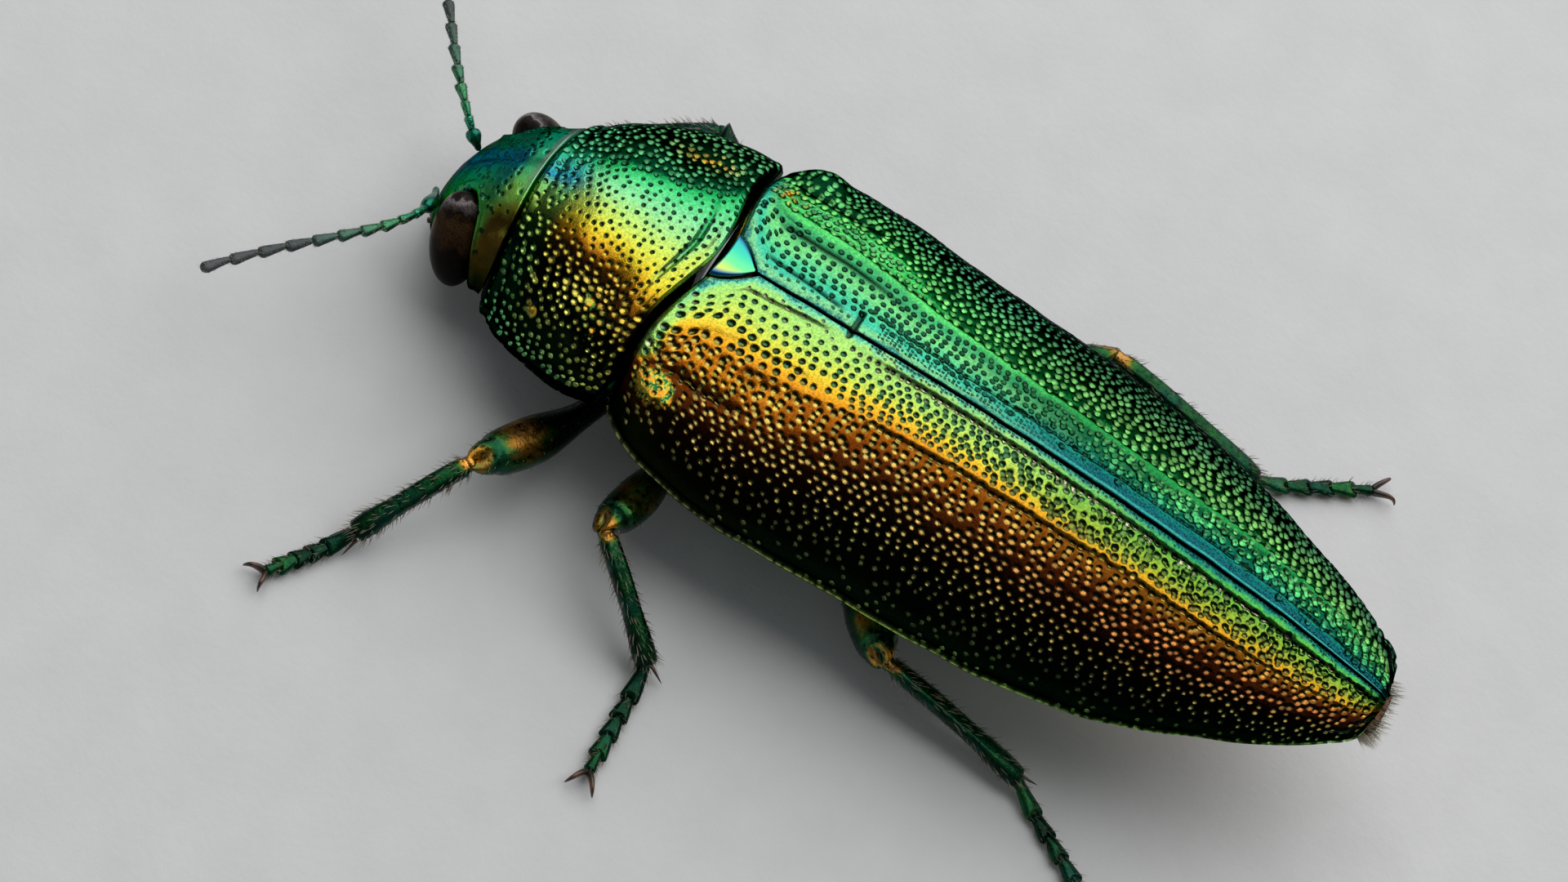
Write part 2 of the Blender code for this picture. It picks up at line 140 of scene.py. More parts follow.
def scutellum_half_width(y):
    along = np.clip((y - base_line(0) - GROOVE / 2) / 1.3, 0, 1)
    return 1.15 * (1 - along**1.5)


def bell(t, centre, width):
    return np.exp(-(((t - centre) / width) ** 2))


def ease(t, low, high):
    """0 below low, 1 above high, and smooth between."""
    u = np.clip((t - low) / (high - low), 0, 1)
    return u * u * (3 - 2 * u)


def most(*grids):
    return functools.reduce(np.maximum, grids)


def powered(t, power):
    """The power of the size of t, with the sign of t."""
    return np.sign(t) * np.abs(t) ** power


def circle(count):
    return np.linspace(0, 2 * np.pi, count, endpoint=False)


def unit(vectors):
    return vectors / (np.linalg.norm(vectors, axis=-1, keepdims=True) + 1e-12)


def waves(a, b, size, seed):
    """Smooth unevenness between about -1 and 1, over the plane of a and b, with bumps of a size."""
    draw, count = np.random.default_rng(seed), 7
    total = np.zeros(np.broadcast(a, b).shape)
    for _ in range(count):
        turn, phase, stretch = *draw.uniform(0, 2 * np.pi, 2), draw.uniform(0.6, 1.6)
        total += np.sin((a * math.cos(turn) + b * math.sin(turn)) * 2 * np.pi / (size * stretch) + phase)
    return total / math.sqrt(count)


def normals(points, ring=True):
    """Outward unit normals of closed rings of points, or of a sheet of them over the beetle's back."""
    wrapped = np.concatenate([points[:, -1:], points, points[:, :1]], axis=1) if ring else points
    out = unit(np.cross(np.gradient(wrapped, axis=1), np.gradient(wrapped, axis=0)))
    out = out[:, 1:-1] if ring else out
    middle = points.mean(axis=1, keepdims=True) if ring else points.mean(axis=(0, 1)) - (0, 0, 3)
    return out * np.sign(np.sum(out * (points - middle)))


def lifted(points, least=0.01):
    """The points, moved up where they are lower than least above the floor."""
    points[..., 2] = np.maximum(points[..., 2], FLOOR + least)
    return points


def half_turns(upper, lower):
    """The angles of a ring with so many points over its upper half and over its lower one."""
    halves = [np.linspace(k * np.pi, (k + 1) * np.pi, n, endpoint=False) for k, n in enumerate((upper, lower))]
    return np.concatenate(halves)


# Meshes. A part is its points and a list of arrays of faces, each with three or four columns.


def quads(rows, columns, ring=False):
    """Faces of a grid of points; ring joins its last column to its first."""
    i, j = np.meshgrid(np.arange(rows - 1), np.arange(columns if ring else columns - 1), indexing="ij")
    low, high, k = i * columns, (i + 1) * columns, (j + 1) % columns
    return np.stack([low + j, low + k, high + k, high + j], -1).reshape(-1, 4)


def outward(points, faces):
    """A closed part whose faces all look outwards."""
    tris = np.concatenate([f[:, [0, k, k + 1]] for f in faces for k in range(1, f.shape[1] - 1)])
    if np.linalg.det(points[tris] - points.mean(axis=0)).sum() < 0:
        faces = [f[:, ::-1] for f in faces]
    return points, faces


def loft(rings):
    """A closed part through rings, with a fan over each end."""
    count, around = rings.shape[:2]
    points = np.concatenate([rings.reshape(-1, 3), [rings[0].mean(axis=0), rings[-1].mean(axis=0)]])
    loop = np.arange(around)
    after = (loop + 1) % around
    last = (count - 1) * around
    start = np.stack([after, loop, np.full(around, count * around)], -1)
    end = np.stack([last + loop, last + after, np.full(around, count * around + 1)], -1)
    return outward(points, [quads(count, around, True), np.concatenate([start, end])])


def joined(parts):
    """One part out of several, and for each point the number of its part."""
    points, faces, number, start = [], [], [], 0
    for k, (p, fs) in enumerate(parts):
        points.append(p)
        faces += [f + start for f in fs]
        number.append(np.full(len(p), k))
        start += len(p)
    return np.concatenate(points), faces, np.concatenate(number)


def link(name, data):
    made = bpy.data.objects.new(name, data)
    bpy.context.scene.collection.objects.link(made)
    return made


def make(name, points, faces, look, node=None, uv=None, **attributes):
    """A piece of the beetle as one mesh. look is its material and a slot, which is not used, and skin_NODE stands
    for NODE.
    """
    points, faces = outward(np.asarray(points, float).reshape(-1, 3), faces)
    mesh = bpy.data.meshes.new(name)
    loops = np.concatenate([f.ravel() for f in faces]).astype(np.int32)
    sizes = np.concatenate([np.full(len(f), f.shape[1]) for f in faces])
    mesh.vertices.add(len(points))
    mesh.vertices.foreach_set("co", (ORIGIN + points * MM).astype(np.float32).ravel())
    mesh.loops.add(len(loops))
    mesh.loops.foreach_set("vertex_index", loops)
    mesh.polygons.add(len(sizes))
    mesh.polygons.foreach_set("loop_start", np.concatenate([[0], np.cumsum(sizes)[:-1]]).astype(np.int32))
    for key, values in attributes.items():
        values = np.asarray(values, np.float32).ravel()
        mesh.attributes.new(key, "FLOAT", "POINT").data.foreach_set("value", values)
    if uv is not None:
        mesh.uv_layers.new(name="OFBake").data.foreach_set("uv", uv[loops].astype(np.float32).ravel())
    mesh.update(calc_edges=True)
    mesh.validate()
    mesh.shade_smooth()
    mesh.materials.append(look[0])
    piece = link(name, mesh)
    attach(piece, "root")
    if name.startswith("skin_"):
        node = name.removeprefix("skin_")
    if node:
        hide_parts(node)


def flat_grid(values, rings, ends=None):
    """Values of a grid as one row, then those at a loft's two end points: ends, or its end rings' means."""
    values = np.broadcast_to(values, rings.shape[:2])
    ends = (values[0].mean(), values[-1].mean()) if ends is None else np.broadcast_to(ends, 2)
    return np.concatenate([values.ravel(), ends])


def limb(name, rings, look, node=None, **attributes):
    """A loft as a piece. An attribute is a grid of values, or such a grid and its value at the end points."""
    for key, value in attributes.items():
        grid, *ends = value if isinstance(value, tuple) else (value,)
        attributes[key] = flat_grid(grid, rings, *ends)
    make(name, *loft(rings), look, node, **attributes)


# Materials. Colour stops are (place, red, green, blue) in thousandths.


class Shader:
    """A principled material whose colour, roughness and bump come from nodes."""

    def __init__(self, name, slot, metallic=1.0, roughness=0.3, coat=0.0, specular=0.5, tint=(1.0, 1.0, 1.0)):
        self.slot = slot
        self.material = bpy.data.materials.new(name)
        self.material.use_nodes = True
        self.out = self.material.node_tree.nodes["Principled BSDF"].inputs
        constants = {
            "Metallic": metallic, "Roughness": roughness, "Coat Weight": coat, "Coat Roughness": 0.12,
            "Specular IOR Level": specular, "Specular Tint": tint,
        }
        for key, value in constants.items():
            self.plug(self.out[key], value)
        self.place = self.node("TexCoord", "Object", {})

    def plug(self, socket, value):
        """Links or sets a socket."""
        if isinstance(value, bpy.types.NodeSocket):
            self.material.node_tree.links.new(value, socket)
        elif isinstance(value, tuple):
            socket.default_value = (*value, 1.0)[: len(socket.default_value)]
        else:
            socket.default_value = value

    def node(self, kind, output, inputs, **settings):
        """Makes a node and returns one of its outputs."""
        made = self.material.node_tree.nodes.new("ShaderNode" + kind)
        for key, value in settings.items():
            setattr(made, key, value)
        for key, value in inputs.items():
            self.plug(made.inputs[key], value)
        return made.outputs[output]

    def attribute(self, name):
        return self.node("Attribute", "Fac", {}, attribute_name=name)

    def noise(self, size, detail=3.0):
        """Noise from 0 to 1 whose features are about size millimetres across."""
        inputs = {"Vector": self.place, "Scale": 1 / (size * MM), "Detail": detail, "Roughness": 0.55}
        return self.node("TexNoise", "Fac", inputs)

    def cells(self, size):
        return self.node("TexVoronoi", "Distance", {"Vector": self.place, "Scale": 1 / (size * MM)})

    def maths(self, operation, a, b, c=0.0):
        return self.node("Math", 0, {0: a, 1: b, 2: c}, operation=operation)

    def times(self, a, b):
        return self.maths("MULTIPLY", a, b)

    def add(self, a, b, amount=1.0):
        """a plus amount times b."""
        return self.maths("MULTIPLY_ADD", b, amount, a)

    def uneven(self, attribute, amount, size, detail=3.0):
        """An attribute, plus amount times noise from -0.5 to 0.5."""
        return self.add(self.attribute(attribute), self.maths("SUBTRACT", self.noise(size, detail), 0.5), amount)

    def ranged(self, value, low, high, to_low=0.0, to_high=1.0):
        inputs = {"Value": value, "From Min": low, "From Max": high, "To Min": to_low, "To Max": to_high}
        return self.node("MapRange", "Result", inputs, interpolation_type="SMOOTHSTEP")

    def ramp(self, value, *stops):
        """Colours along value."""
        colours = self.node("ValToRGB", "Color", {"Fac": value})
        elements = colours.node.color_ramp.elements
        while len(elements) < len(stops):
            elements.new(0.5)
        for element, (place, *colour) in zip(elements, stops):
            element.position = place / 1000
            element.color = (*(part / 1000 for part in colour), 1.0)
        return colours

    def across(self, value, *stops):
        """Colours along value from -1, such as the beetle's right margin, to 1."""
        where = self.maths("MULTIPLY_ADD", value, 0.5, 0.5)
        return self.ramp(where, *(((place + 1000) / 2, *colour) for place, *colour in stops))

    def mix(self, a, b, share, blend="MIX"):
        return self.node("Mix", 2, {0: share, 6: a, 7: b}, data_type="RGBA", blend_type=blend)

    def painted_pit_shade(self, colour, inside, low, high, share):
        """The colour, with another one inside the punctures: painted shade in their hollows."""
        return self.mix(colour, inside, self.times(self.ranged(self.attribute("pit"), low, high), share))

    def bumps(self, size, detail, cell, share):
        return self.add(self.noise(size, detail), self.cells(cell), share)

    def finish(self, colour, rough=None, height=None, depth=0.01):
        """Sets colour, roughness and a bump of depth millimetres, and returns the material and its slot.

        rough is (size of its noise, lowest, highest), or what comes from a node."""
        self.plug(self.out["Base Color"], colour)
        if isinstance(rough, tuple):
            rough = self.ranged(self.noise(rough[0]), 0.3, 0.7, *rough[1:])
        if rough is not None:
            self.plug(self.out["Roughness"], rough)
        if height is not None:
            inputs = {"Distance": depth * MM, "Strength": 1.0, "Height": height}
            self.plug(self.out["Normal"], self.node("Bump", "Normal", inputs))
        return self.material, self.slot


def shell_material(name, plain, painted_glints, rear_plain, rear_painted_glints):
    """Metallic shell whose colours run across the body: its ground's, and the painted glints' in its punctures,
    over their painted shade.
    """
    s = Shader(name, "shell_green", roughness=0.22, tint=SHELL_TINT)
    drift = s.add(s.times(s.noise(0.9, 4.0), 0.07), s.noise(0.12, 2.0), 0.05)
    across = s.add(s.attribute("across"), s.maths("SUBTRACT", drift, 0.06))
    rear = s.ranged(s.add(s.attribute("rear"), s.noise(2.0), 0.3), 0.42, 0.86)
    ground = s.mix(s.across(across, *plain), s.across(across, *rear_plain), rear)
    # inside is the colour of the painted glints, a painted highlight on the punctures' walls.
    inside = s.mix(s.across(across, *painted_glints), s.across(across, *rear_painted_glints), rear)
    callus = s.ramp(s.noise(0.22), (380, 20, 160, 40), (460, 500, 520, 60), (560, 860, 360, 30))
    ground = s.mix(ground, callus, s.ranged(s.uneven("gold", 1.6, 0.4, 4.0), 0.5, 0.9))
    inside = s.mix(inside, callus, s.ranged(s.attribute("gold"), 0.0, 0.5))
    # Painted shade darkens the insides of the punctures.
    colour = s.painted_pit_shade(ground, (0.003, 0.016, 0.010), 0.06, 0.36, 0.96)
    colour = s.mix(colour, (0.002, 0.004, 0.004), s.attribute("shade"))
    colour = s.mix(colour, inside, s.attribute("bead"))
    grain = s.ramp(s.noise(0.09, 4.0), (320, 500, 560, 600), (620, 1000, 1000, 1000))
    colour = s.mix(colour, grain, 1.0, "MULTIPLY")
    return s.finish(colour, (0.3, 0.18, 0.30), s.bumps(0.05, 2.0, 0.07, 0.5), 0.005)


# Colours from the right margin to the left: the hues are the shell's own, but their spread, lighter where the back
# faced the light and near-black towards the margins, is painted reflection and shade.
ELYTRA_PLAIN = (
    (-1000, 1, 8, 6), (-580, 2, 20, 10), (-360, 2, 45, 12), (-300, 4, 90, 20), (-280, 40, 500, 100),
    (-255, 120, 680, 160), (-235, 60, 400, 120), (-210, 50, 380, 140), (-150, 180, 620, 200),
    (-90, 70, 540, 260), (-50, 50, 500, 320), (-20, 220, 600, 240), (0, 10, 120, 140), (12, 120, 560, 340),
    (35, 340, 660, 160), (100, 400, 660, 130), (160, 580, 640, 70), (190, 740, 560, 40),
    (225, 800, 420, 22), (262, 700, 260, 14), (285, 360, 100, 6), (350, 160, 36, 3), (420, 80, 18, 3),
    (520, 20, 6, 2), (660, 4, 5, 1), (1000, 1, 7, 3),
)
ELYTRA_PAINTED_GLINTS = (
    (-1000, 40, 160, 120), (-620, 100, 380, 200), (-420, 170, 720, 200), (-300, 260, 900, 200),
    (-220, 50, 320, 140), (0, 50, 320, 180), (50, 840, 800, 440), (72, 840, 800, 440), (84, 60, 340, 180),
    (200, 120, 340, 100), (270, 880, 620, 100), (400, 900, 580, 130), (600, 840, 560, 150),
    (740, 660, 580, 180), (900, 360, 500, 160), (1000, 600, 800, 160),
)
REAR_PLAIN = (
    (-1000, 1, 6, 4), (-500, 1, 10, 4), (-310, 2, 35, 8), (-270, 20, 260, 50), (-250, 20, 260, 60),
    (-220, 5, 80, 25), (-120, 6, 100, 55), (-85, 8, 200, 150), (-30, 8, 90, 130), (0, 2, 20, 30),
    (15, 6, 180, 140), (45, 80, 440, 70), (85, 140, 400, 45), (160, 300, 380, 30), (210, 500, 330, 18),
    (255, 660, 290, 15), (280, 200, 70, 5), (380, 50, 11, 2), (550, 12, 3, 1), (750, 1, 3, 1),
    (1000, 1, 6, 2),
)
REAR_PAINTED_GLINTS = (
    (-1000, 30, 100, 60), (-600, 80, 240, 100), (-360, 260, 660, 160), (-160, 120, 740, 220),
    (-50, 30, 400, 380), (40, 100, 600, 400), (55, 840, 820, 440), (78, 840, 820, 440), (88, 300, 720, 100),
    (200, 620, 620, 80), (280, 880, 500, 70), (380, 840, 340, 60), (500, 720, 240, 70), (660, 420, 270, 70),
    (850, 200, 260, 80), (1000, 400, 800, 160),
)
# The pronotum's spread of colour, near-black towards its sides, is likewise partly painted reflection and shade.
PRONOTUM_PLAIN = (
    (-1000, 1, 7, 5), (-500, 1, 12, 6), (-185, 3, 50, 20), (-150, 20, 400, 100), (-100, 80, 600, 200),
    (-20, 220, 660, 280), (60, 360, 680, 200), (140, 560, 680, 90), (210, 740, 580, 30),
    (265, 680, 340, 15), (300, 360, 130, 7), (340, 60, 22, 3), (450, 4, 6, 2), (1000, 1, 8, 3),
)
PRONOTUM_PAINTED_GLINTS = (
    (-1000, 60, 240, 140), (-600, 140, 440, 160), (-240, 120, 520, 200), (-140, 30, 220, 100),
    (200, 40, 160, 40), (290, 900, 580, 60), (440, 960, 700, 100), (600, 950, 920, 160),
    (800, 800, 980, 220), (1000, 340, 900, 320),
)
PRONOTUM_FRONT = (
    (-1000, 1, 10, 8), (-220, 3, 60, 30), (-120, 20, 320, 160), (-30, 50, 420, 340), (40, 20, 220, 340),
    (120, 160, 460, 120), (220, 200, 340, 50), (300, 20, 60, 10), (450, 2, 12, 5), (1000, 1, 12, 5),
)
PRONOTUM_FRONT_PAINTED_GLINTS = (
    (-1000, 80, 360, 200), (-200, 160, 660, 280), (20, 100, 560, 420), (140, 360, 760, 200),
    (300, 600, 800, 140), (600, 360, 850, 200), (1000, 200, 750, 300),
)


# Shell plates


def punctures(points, spots, stretch=0.8):
    """Three grids: the height that the punctures take off, their share, and the share of their painted glints.

    spots are (row, column, radius, depth, lean, gleam) with fractional rows and columns. A painted glint is the
    part of the hollow painted bright by gleam as a highlight, set off towards higher columns by lean times the
    radius.
    The lower stretch is, the longer it is from row to row.
    """
    rows, columns = points.shape[:2]
    cut, share, bead = np.zeros((3, rows, columns))
    along, across = (np.linalg.norm(np.gradient(points, axis=axis), axis=2) for axis in (0, 1))
    for row, column, radius, depth, lean, gleam in spots:
        i, j = int(row), int(column)
        tall, wide = along[i, j] + 1e-9, across[i, j] + 1e-9
        di, dj = int(radius / tall) + 2, int(radius * (1 + abs(lean)) / wide) + 2
        top, bottom = max(i - di, 0), min(i + di + 1, rows)
        left, right = max(j - dj, 0), min(j + dj + 1, columns)
        a = (np.arange(top, bottom) - row)[:, None] * tall / radius
        b = (np.arange(left, right) - column) * wide / radius
        profile = np.clip(1 - a * a - b * b, 0, 1)
        window = (slice(top, bottom), slice(left, right))
        cut[window] = np.maximum(cut[window], depth * profile**1.3)
        share[window] = np.maximum(share[window], profile)
        shine = gleam * np.clip(1.7 * (1 - (stretch * a * a + (b - lean) ** 2) / 0.47), 0, 1)
        bead[window] = np.maximum(bead[window], shine)
    return cut, share, bead


def spread(candidates, apart):
    """Keeps each candidate (x, y, space, ...) that is apart times its space from all kept before it."""
    kept, chosen = np.empty((len(candidates), 2)), []
    for item in candidates:
        near = kept[: len(chosen)] - item[:2]
        if chosen and np.min(np.sum(near**2, axis=1)) < (apart * item[2]) ** 2:
            continue
        kept[len(chosen)] = item[:2]
        chosen.append(item)
    return chosen


def rim_of(rows, columns):
    """Indices round the border of a grid, and each one's place along it: side number plus share."""
    top = [(j, j / (columns - 1)) for j in range(columns - 1)]
    right = [(i * columns + columns - 1, 1 + i / (rows - 1)) for i in range(rows - 1)]
    low = [((rows - 1) * columns + j, 3 - j / (columns - 1)) for j in range(columns - 1, 0, -1)]
    left = [(i * columns, 4 - i / (rows - 1)) for i in range(rows - 1, 0, -1)]
    return top + right + low + left


def zipped(*rims):
    """Triangles that join two borders of unlike counts."""
    faces, at = [], [0, 0]
    for _, k in sorted((place, k) for k in (0, 1) for place in [place for _, place in rims[k][1:]] + [4.0]):
        a, b = (rim[i % len(rim)][0] for rim, i in zip(rims, at))
        at[k] += 1
        faces.append((a, rims[k][at[k] % len(rims[k])][0], b))
    return np.array(faces)


def plate(top, thickness, coarse):
    """A closed shell: a fine outer grid and a coarse inner one joined at the border."""
    rows, columns = top.shape[:2]
    i, j = (np.linspace(0, n - 1, m).round().astype(int) for n, m in zip((rows, columns), coarse))
    inner = (top - normals(top, False) * thickness)[np.ix_(i, j)]
    points = np.concatenate([top.reshape(-1, 3), inner.reshape(-1, 3)])
    under = [(index + rows * columns, share) for index, share in rim_of(*coarse)]
    border = zipped(rim_of(rows, columns), under)
    return points, [quads(rows, columns), quads(*coarse)[:, ::-1] + rows * columns, border[:, ::-1]]


# Places across a wing case: c is the share of the way from suture to margin, and q runs along the costae.
COSTA = 0.26
costa_track = curve(
    (0, 0.43), (2, 0.385), (5, 0.345), (7, 0.305), (9, 0.277), (13, 0.255), (18, 0.252), (21, 0.28),
    (24, 0.335), (29.5, 0.46),
)
front_ridge = curve((1, 0.345), (2.6, 0.29), (5, 0.258), (7, 0.25))
SUTURE_ROW = {
    1: curve((4, 0.05), (12, 0.056), (19, 0.063), (29, 0.08)),
    -1: curve((4, 0.10), (12, 0.095), (29, 0.10)),
}
RIBS = ((COSTA, 0.055, 1.0), (0.412, 0.016, 0.8), (0.587, 0.010, 0.8))


def costa_place(c, y):
    track = costa_track(y)
    return np.where(c < track, c * COSTA / track, 1 - (1 - c) * (1 - COSTA) / (1 - track))


def share_at(q, y):
    """costa_place turned round."""
    track = costa_track(y)
    return q * track / COSTA if q < COSTA else 1 - (1 - q) * (1 - track) / (1 - COSTA)


def striae(left, draw):
    """Rows of punctures, as (q, spacing, size, jitter): finer and closer between suture and costa."""
    rows = [(q, 0.36, 0.136, 0.006) for q in np.arange(0.085 if left else 0.067, 0.245, 0.0262)]
    for q in np.arange(0.286, 0.97, 0.031):
        size = 0.152 - 0.056 * ease(q, 0.35, 0.80) * left
        rows.append((q, 0.40 + 0.12 * ease(q, 0.5, 0.8) * left, size, 0.007))
    return [rows[k] for k in draw.permutation(len(rows))]


def elytron_spots(left, draw, add):
    """Adds the punctures of a wing case: those in rows, the suture's, the fine ones beside it, the front's."""
    for row, gap, size, jitter in striae(left, draw):
        spot, inner = draw.uniform(0.3, 0.7), row < 0.25
        while spot < 29.2:
            q = row + 0.22 * max(row - 0.085, 0) * ease(spot, 9, 3) * (left and inner)
            if inner and q > 0.25:
                spot += gap
                continue
            back, late = ease(spot, 9, 17), ease(spot, 12, 20)
            bare = ease(q, 0.74, 0.90) * (0.55 + 0.45 * ease(spot, 6, 3)) if left else 0.9 * (q < 0.11) * back
            if draw.uniform() > 0.97 * bare:
                gleam = draw.uniform(0.35, 1.0) * (1 - 0.4 * bare)
                if inner:
                    gleam *= 0.60 - 0.10 * back if left else 0.30 + 0.70 * late
                grown = 1 + (0.2 * ease(spot, 8, 4) * (0.15 < q < 0.25) if left else 0.22 * late)
                grown += (0.18 if left else 0.08) * (back + ease(spot, 6, 3) * (q > 0.18)) * inner
                vary = 0.26 * back if inner else 0.16
                grown *= draw.uniform(1 - vary, 1 + vary)
                loose = 0.5 + 0.9 * back if inner else 1.0
                add(q, spot, size * grown, jitter * loose, 1.0 - 0.2 * back * inner, gleam)
            spot += gap * (1 + 0.2 * ease(spot, 9, 4) * inner) * draw.uniform(0.80, 1.25)
    for spot in np.arange(6.0, 28.5, 0.34):
        row = SUTURE_ROW[1 if left else -1](spot) + 0.004
        add(row, spot + draw.normal(0, 0.04), 0.12, 0.002, 0.6, 1.0 if left and spot > 8 else 0.2)
    for q in (0.012, 0.024) if left else (0.028, 0.042, 0.056, 0.070):
        for spot in np.arange(6.5, 29, 0.17):
            add(q, spot, draw.uniform(0.055, 0.07), 0.003, 0.55, 0.4)
    for spot in np.arange(1.5, 5.2, 0.33):
        add(0.062 * COSTA / costa_track(spot), spot, 0.085, 0.008, 0.8, 0.5)


def elytron(side, shell):
    """A wing case; side is 1 for the left one and -1 for the right one."""
    left, right = side > 0, side < 0
    rows, columns = ((520, 184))
    v = 1 - (1 - np.linspace(0, 1, rows)) ** 1.15
    row_y, front = v * ELYTRA_LENGTH, (1 - v) ** 4
    half, rise = elytra_half_width(row_y), elytra_top(row_y) - 0.06 - elytra_edge(row_y)
    start = scutellum_half_width(row_y + front * base_line(side) + GROOVE / 2) + GAP / 2 - 0.01
    turns = np.linspace(0, np.pi / 2, 120)
    turn, length = np.empty((rows, columns)), np.empty((rows, 1))
    for k in range(rows):
        steps = np.hypot(np.diff(half[k] * np.sin(turns)), np.diff(rise[k] * np.cos(turns)))
        arc = np.concatenate([[0], np.cumsum(steps)])
        first = np.interp(math.asin(start[k] / half[k]), turns, arc)
        turn[k] = np.interp(np.linspace(first, arc[-1], columns), arc, turns)
        length[k] = arc[-1]
    v, front = v[:, None], front[:, None]
    c = np.linspace(0, 1, columns) + 0 * turn
    y = row_y[:, None] + 0 * turn
    x = side * half[:, None] * np.sin(turn)
    z = elytra_edge(row_y)[:, None] + rise[:, None] * np.cos(turn)
    base = np.stack([x, y + front * base_line(x) + GROOVE / 2, z], -1)
    q = costa_place(c, y)
    row_line = SUTURE_ROW[side](y)

    def along(low, high):
        return ease(y, low, high)

    # Ridges, the flat band along the suture, the shoulder's boss, the dent across the suture, the margin
    height = 0
    for centre, tall, wide in RIBS:
        grown = along(0.8, 3.5) * along(29.3, 27) * (1 if centre == COSTA else along(9, 17))
        outer = 0.022 + 0.014 * along(12, 7) * left
        height += grown * tall * bell(q, centre, np.where(q < centre, 0.040, outer) * wide)
    height += 0.05 * bell(c, front_ridge(y), 0.022) * along(0.8, 1.6) * along(6.8, 5.4)
    height += 0.04 * ease(q, row_line, row_line - 0.02) * along(1.5, 4)
    line = bell(q, row_line, 0.013 if left else 0.007) * along(6, 9)
    stria = bell(c, 0.105 - 0.0125 * y + 0.02 * right, 0.008 if left else 0.011)
    stria = stria * along(1.1, 1.6) * along(5.1, 4.5)
    flank = bell(q, COSTA + 0.026, 0.010 if left else 0.012) * (along(7, 10) if left else along(1.5, 3))
    flank = most(flank * along(26, 22), bell(q, 0.195, 0.013) * along(1, 1.8) * along(8, 5) * right)
    boss = bell(c, 0.73, 0.095) * bell(y, 1.4, 1.0)
    furrow = bell(c, 0.60 - 0.012 * y, 0.018) * bell(y, 2.6, 1.5)
    dent = bell(y, 5.55, 0.11) * (ease(c, 0.05, 0.02) if left else ease(c, 0.12, 0.09))
    edge = bell(c, 0.988, 0.007)
    height += 0.46 * boss - 0.16 * furrow - 0.12 * dent - 0.05 * line - 0.05 * stria + 0.05 * edge - 0.04 * flank
    height -= 0.06 * bell(c, 0.966, 0.010) + 0.06 * ease(c, 0.006, 0.0) * along(1.5, 3)
    height -= 0.10 * along(0.22, 0.0) + 0.10 * along(29.1, 29.5)
    height += 0.02 * waves(c * length, y, 2.2, 11)
    wrinkled = ease(c, 0.02, 0.05) * ease(q, 0.25, 0.22) * along(6, 14)
    height += (0.020 if left else 0.014) * wrinkled * waves(c * length, y, 0.36, 13)

    draw = np.random.default_rng(21 if left else 22)
    seeds, spots = [], []

    def add(place, spot, size, jitter, apart, gleam):
        at = place + draw.normal(0, jitter)
        k = np.interp(spot, row_y, np.arange(rows))
        share = share_at(at, spot)
        seeds.append((share * length[int(k), 0], spot, apart, k, share * (columns - 1), at, size, gleam))

    elytron_spots(left, draw, add)
    for _, _, _, k, column, at, size, gleam in spread(seeds, 0.20):
        spot = row_y[int(k)]
        if column > 1.5 and abs(column / columns - front_ridge(spot)) > 0.013 * (spot < 6):
            steep = 0.42 + 0.25 * ease(at, 0.55, 0.8) * left
            spots.append((k, column, size, steep * size + 0.012, 0.34, gleam))
    cut, pit, bead = punctures(base, spots)
    shade = most(
        0.97 * line * (1 if left else 0.6) * along(29, 27), 0.9 * stria, (0.85 if left else 0.97) * flank,
        0.85 * ease(v, 0.965, 1.0), 0.8 * ease(c, 0.005, 0.001) * (turn[:, :1] < 0.03), 0.9 * dent, 0.8 * furrow,
    )
    # Painted highlight: broken dots of it along the raised margin, and a thin line of it beside the right wing
    # case's suture.
    dots = np.clip(0.55 + 0.8 * waves(y, c, 0.22, 12), 0.1, 1)
    bead = most(bead, edge * dots, 0.8 * bell(c, 0.017, 0.006) * along(7, 12) * right)
    tone = q - 0.13 * along(10, 4) * ease(q, 0.26, 0.42 if left else 0.38)
    tone = tone - 0.04 * bell(y, 18, 5) * bell(q, 0.19, 0.07) * left
    tone = tone * (1 - 0.8 * along(0.9, 0.2) * ease(q, 0.6, 0.4))
    spot, size, strength = (0.67, (0.07, 0.8), 1.6) if left else (0.48, (0.05, 0.6), 0.7)
    gold = np.minimum(strength * bell(c, spot, size[0]) * bell(y, 1.2 if left else 1.0, size[1]), 1)
    rear = v + 0.13 * ease(v, 0.3, 0.5) * right + 0 * turn
    points, faces = plate(base + normals(base, False) * (height - cut)[..., None], SHELL, (30, 12))
    grids = {
        "across": (side * tone, side), "pit": (pit, 0), "bead": (bead, 0), "shade": (shade, 0.8),
        "rear": (rear, 1), "gold": (gold, 0),
    }
    under = len(points) - rows * columns
    grids = {key: np.concatenate([grid.ravel(), np.full(under, inside)]) for key, (grid, inside) in grids.items()}
    name, slot = ("left", "shell_copper") if left else ("right", "shell_green")
    make(f"skin_elytron_{name}", points, faces, (shell[0], slot), **grids)


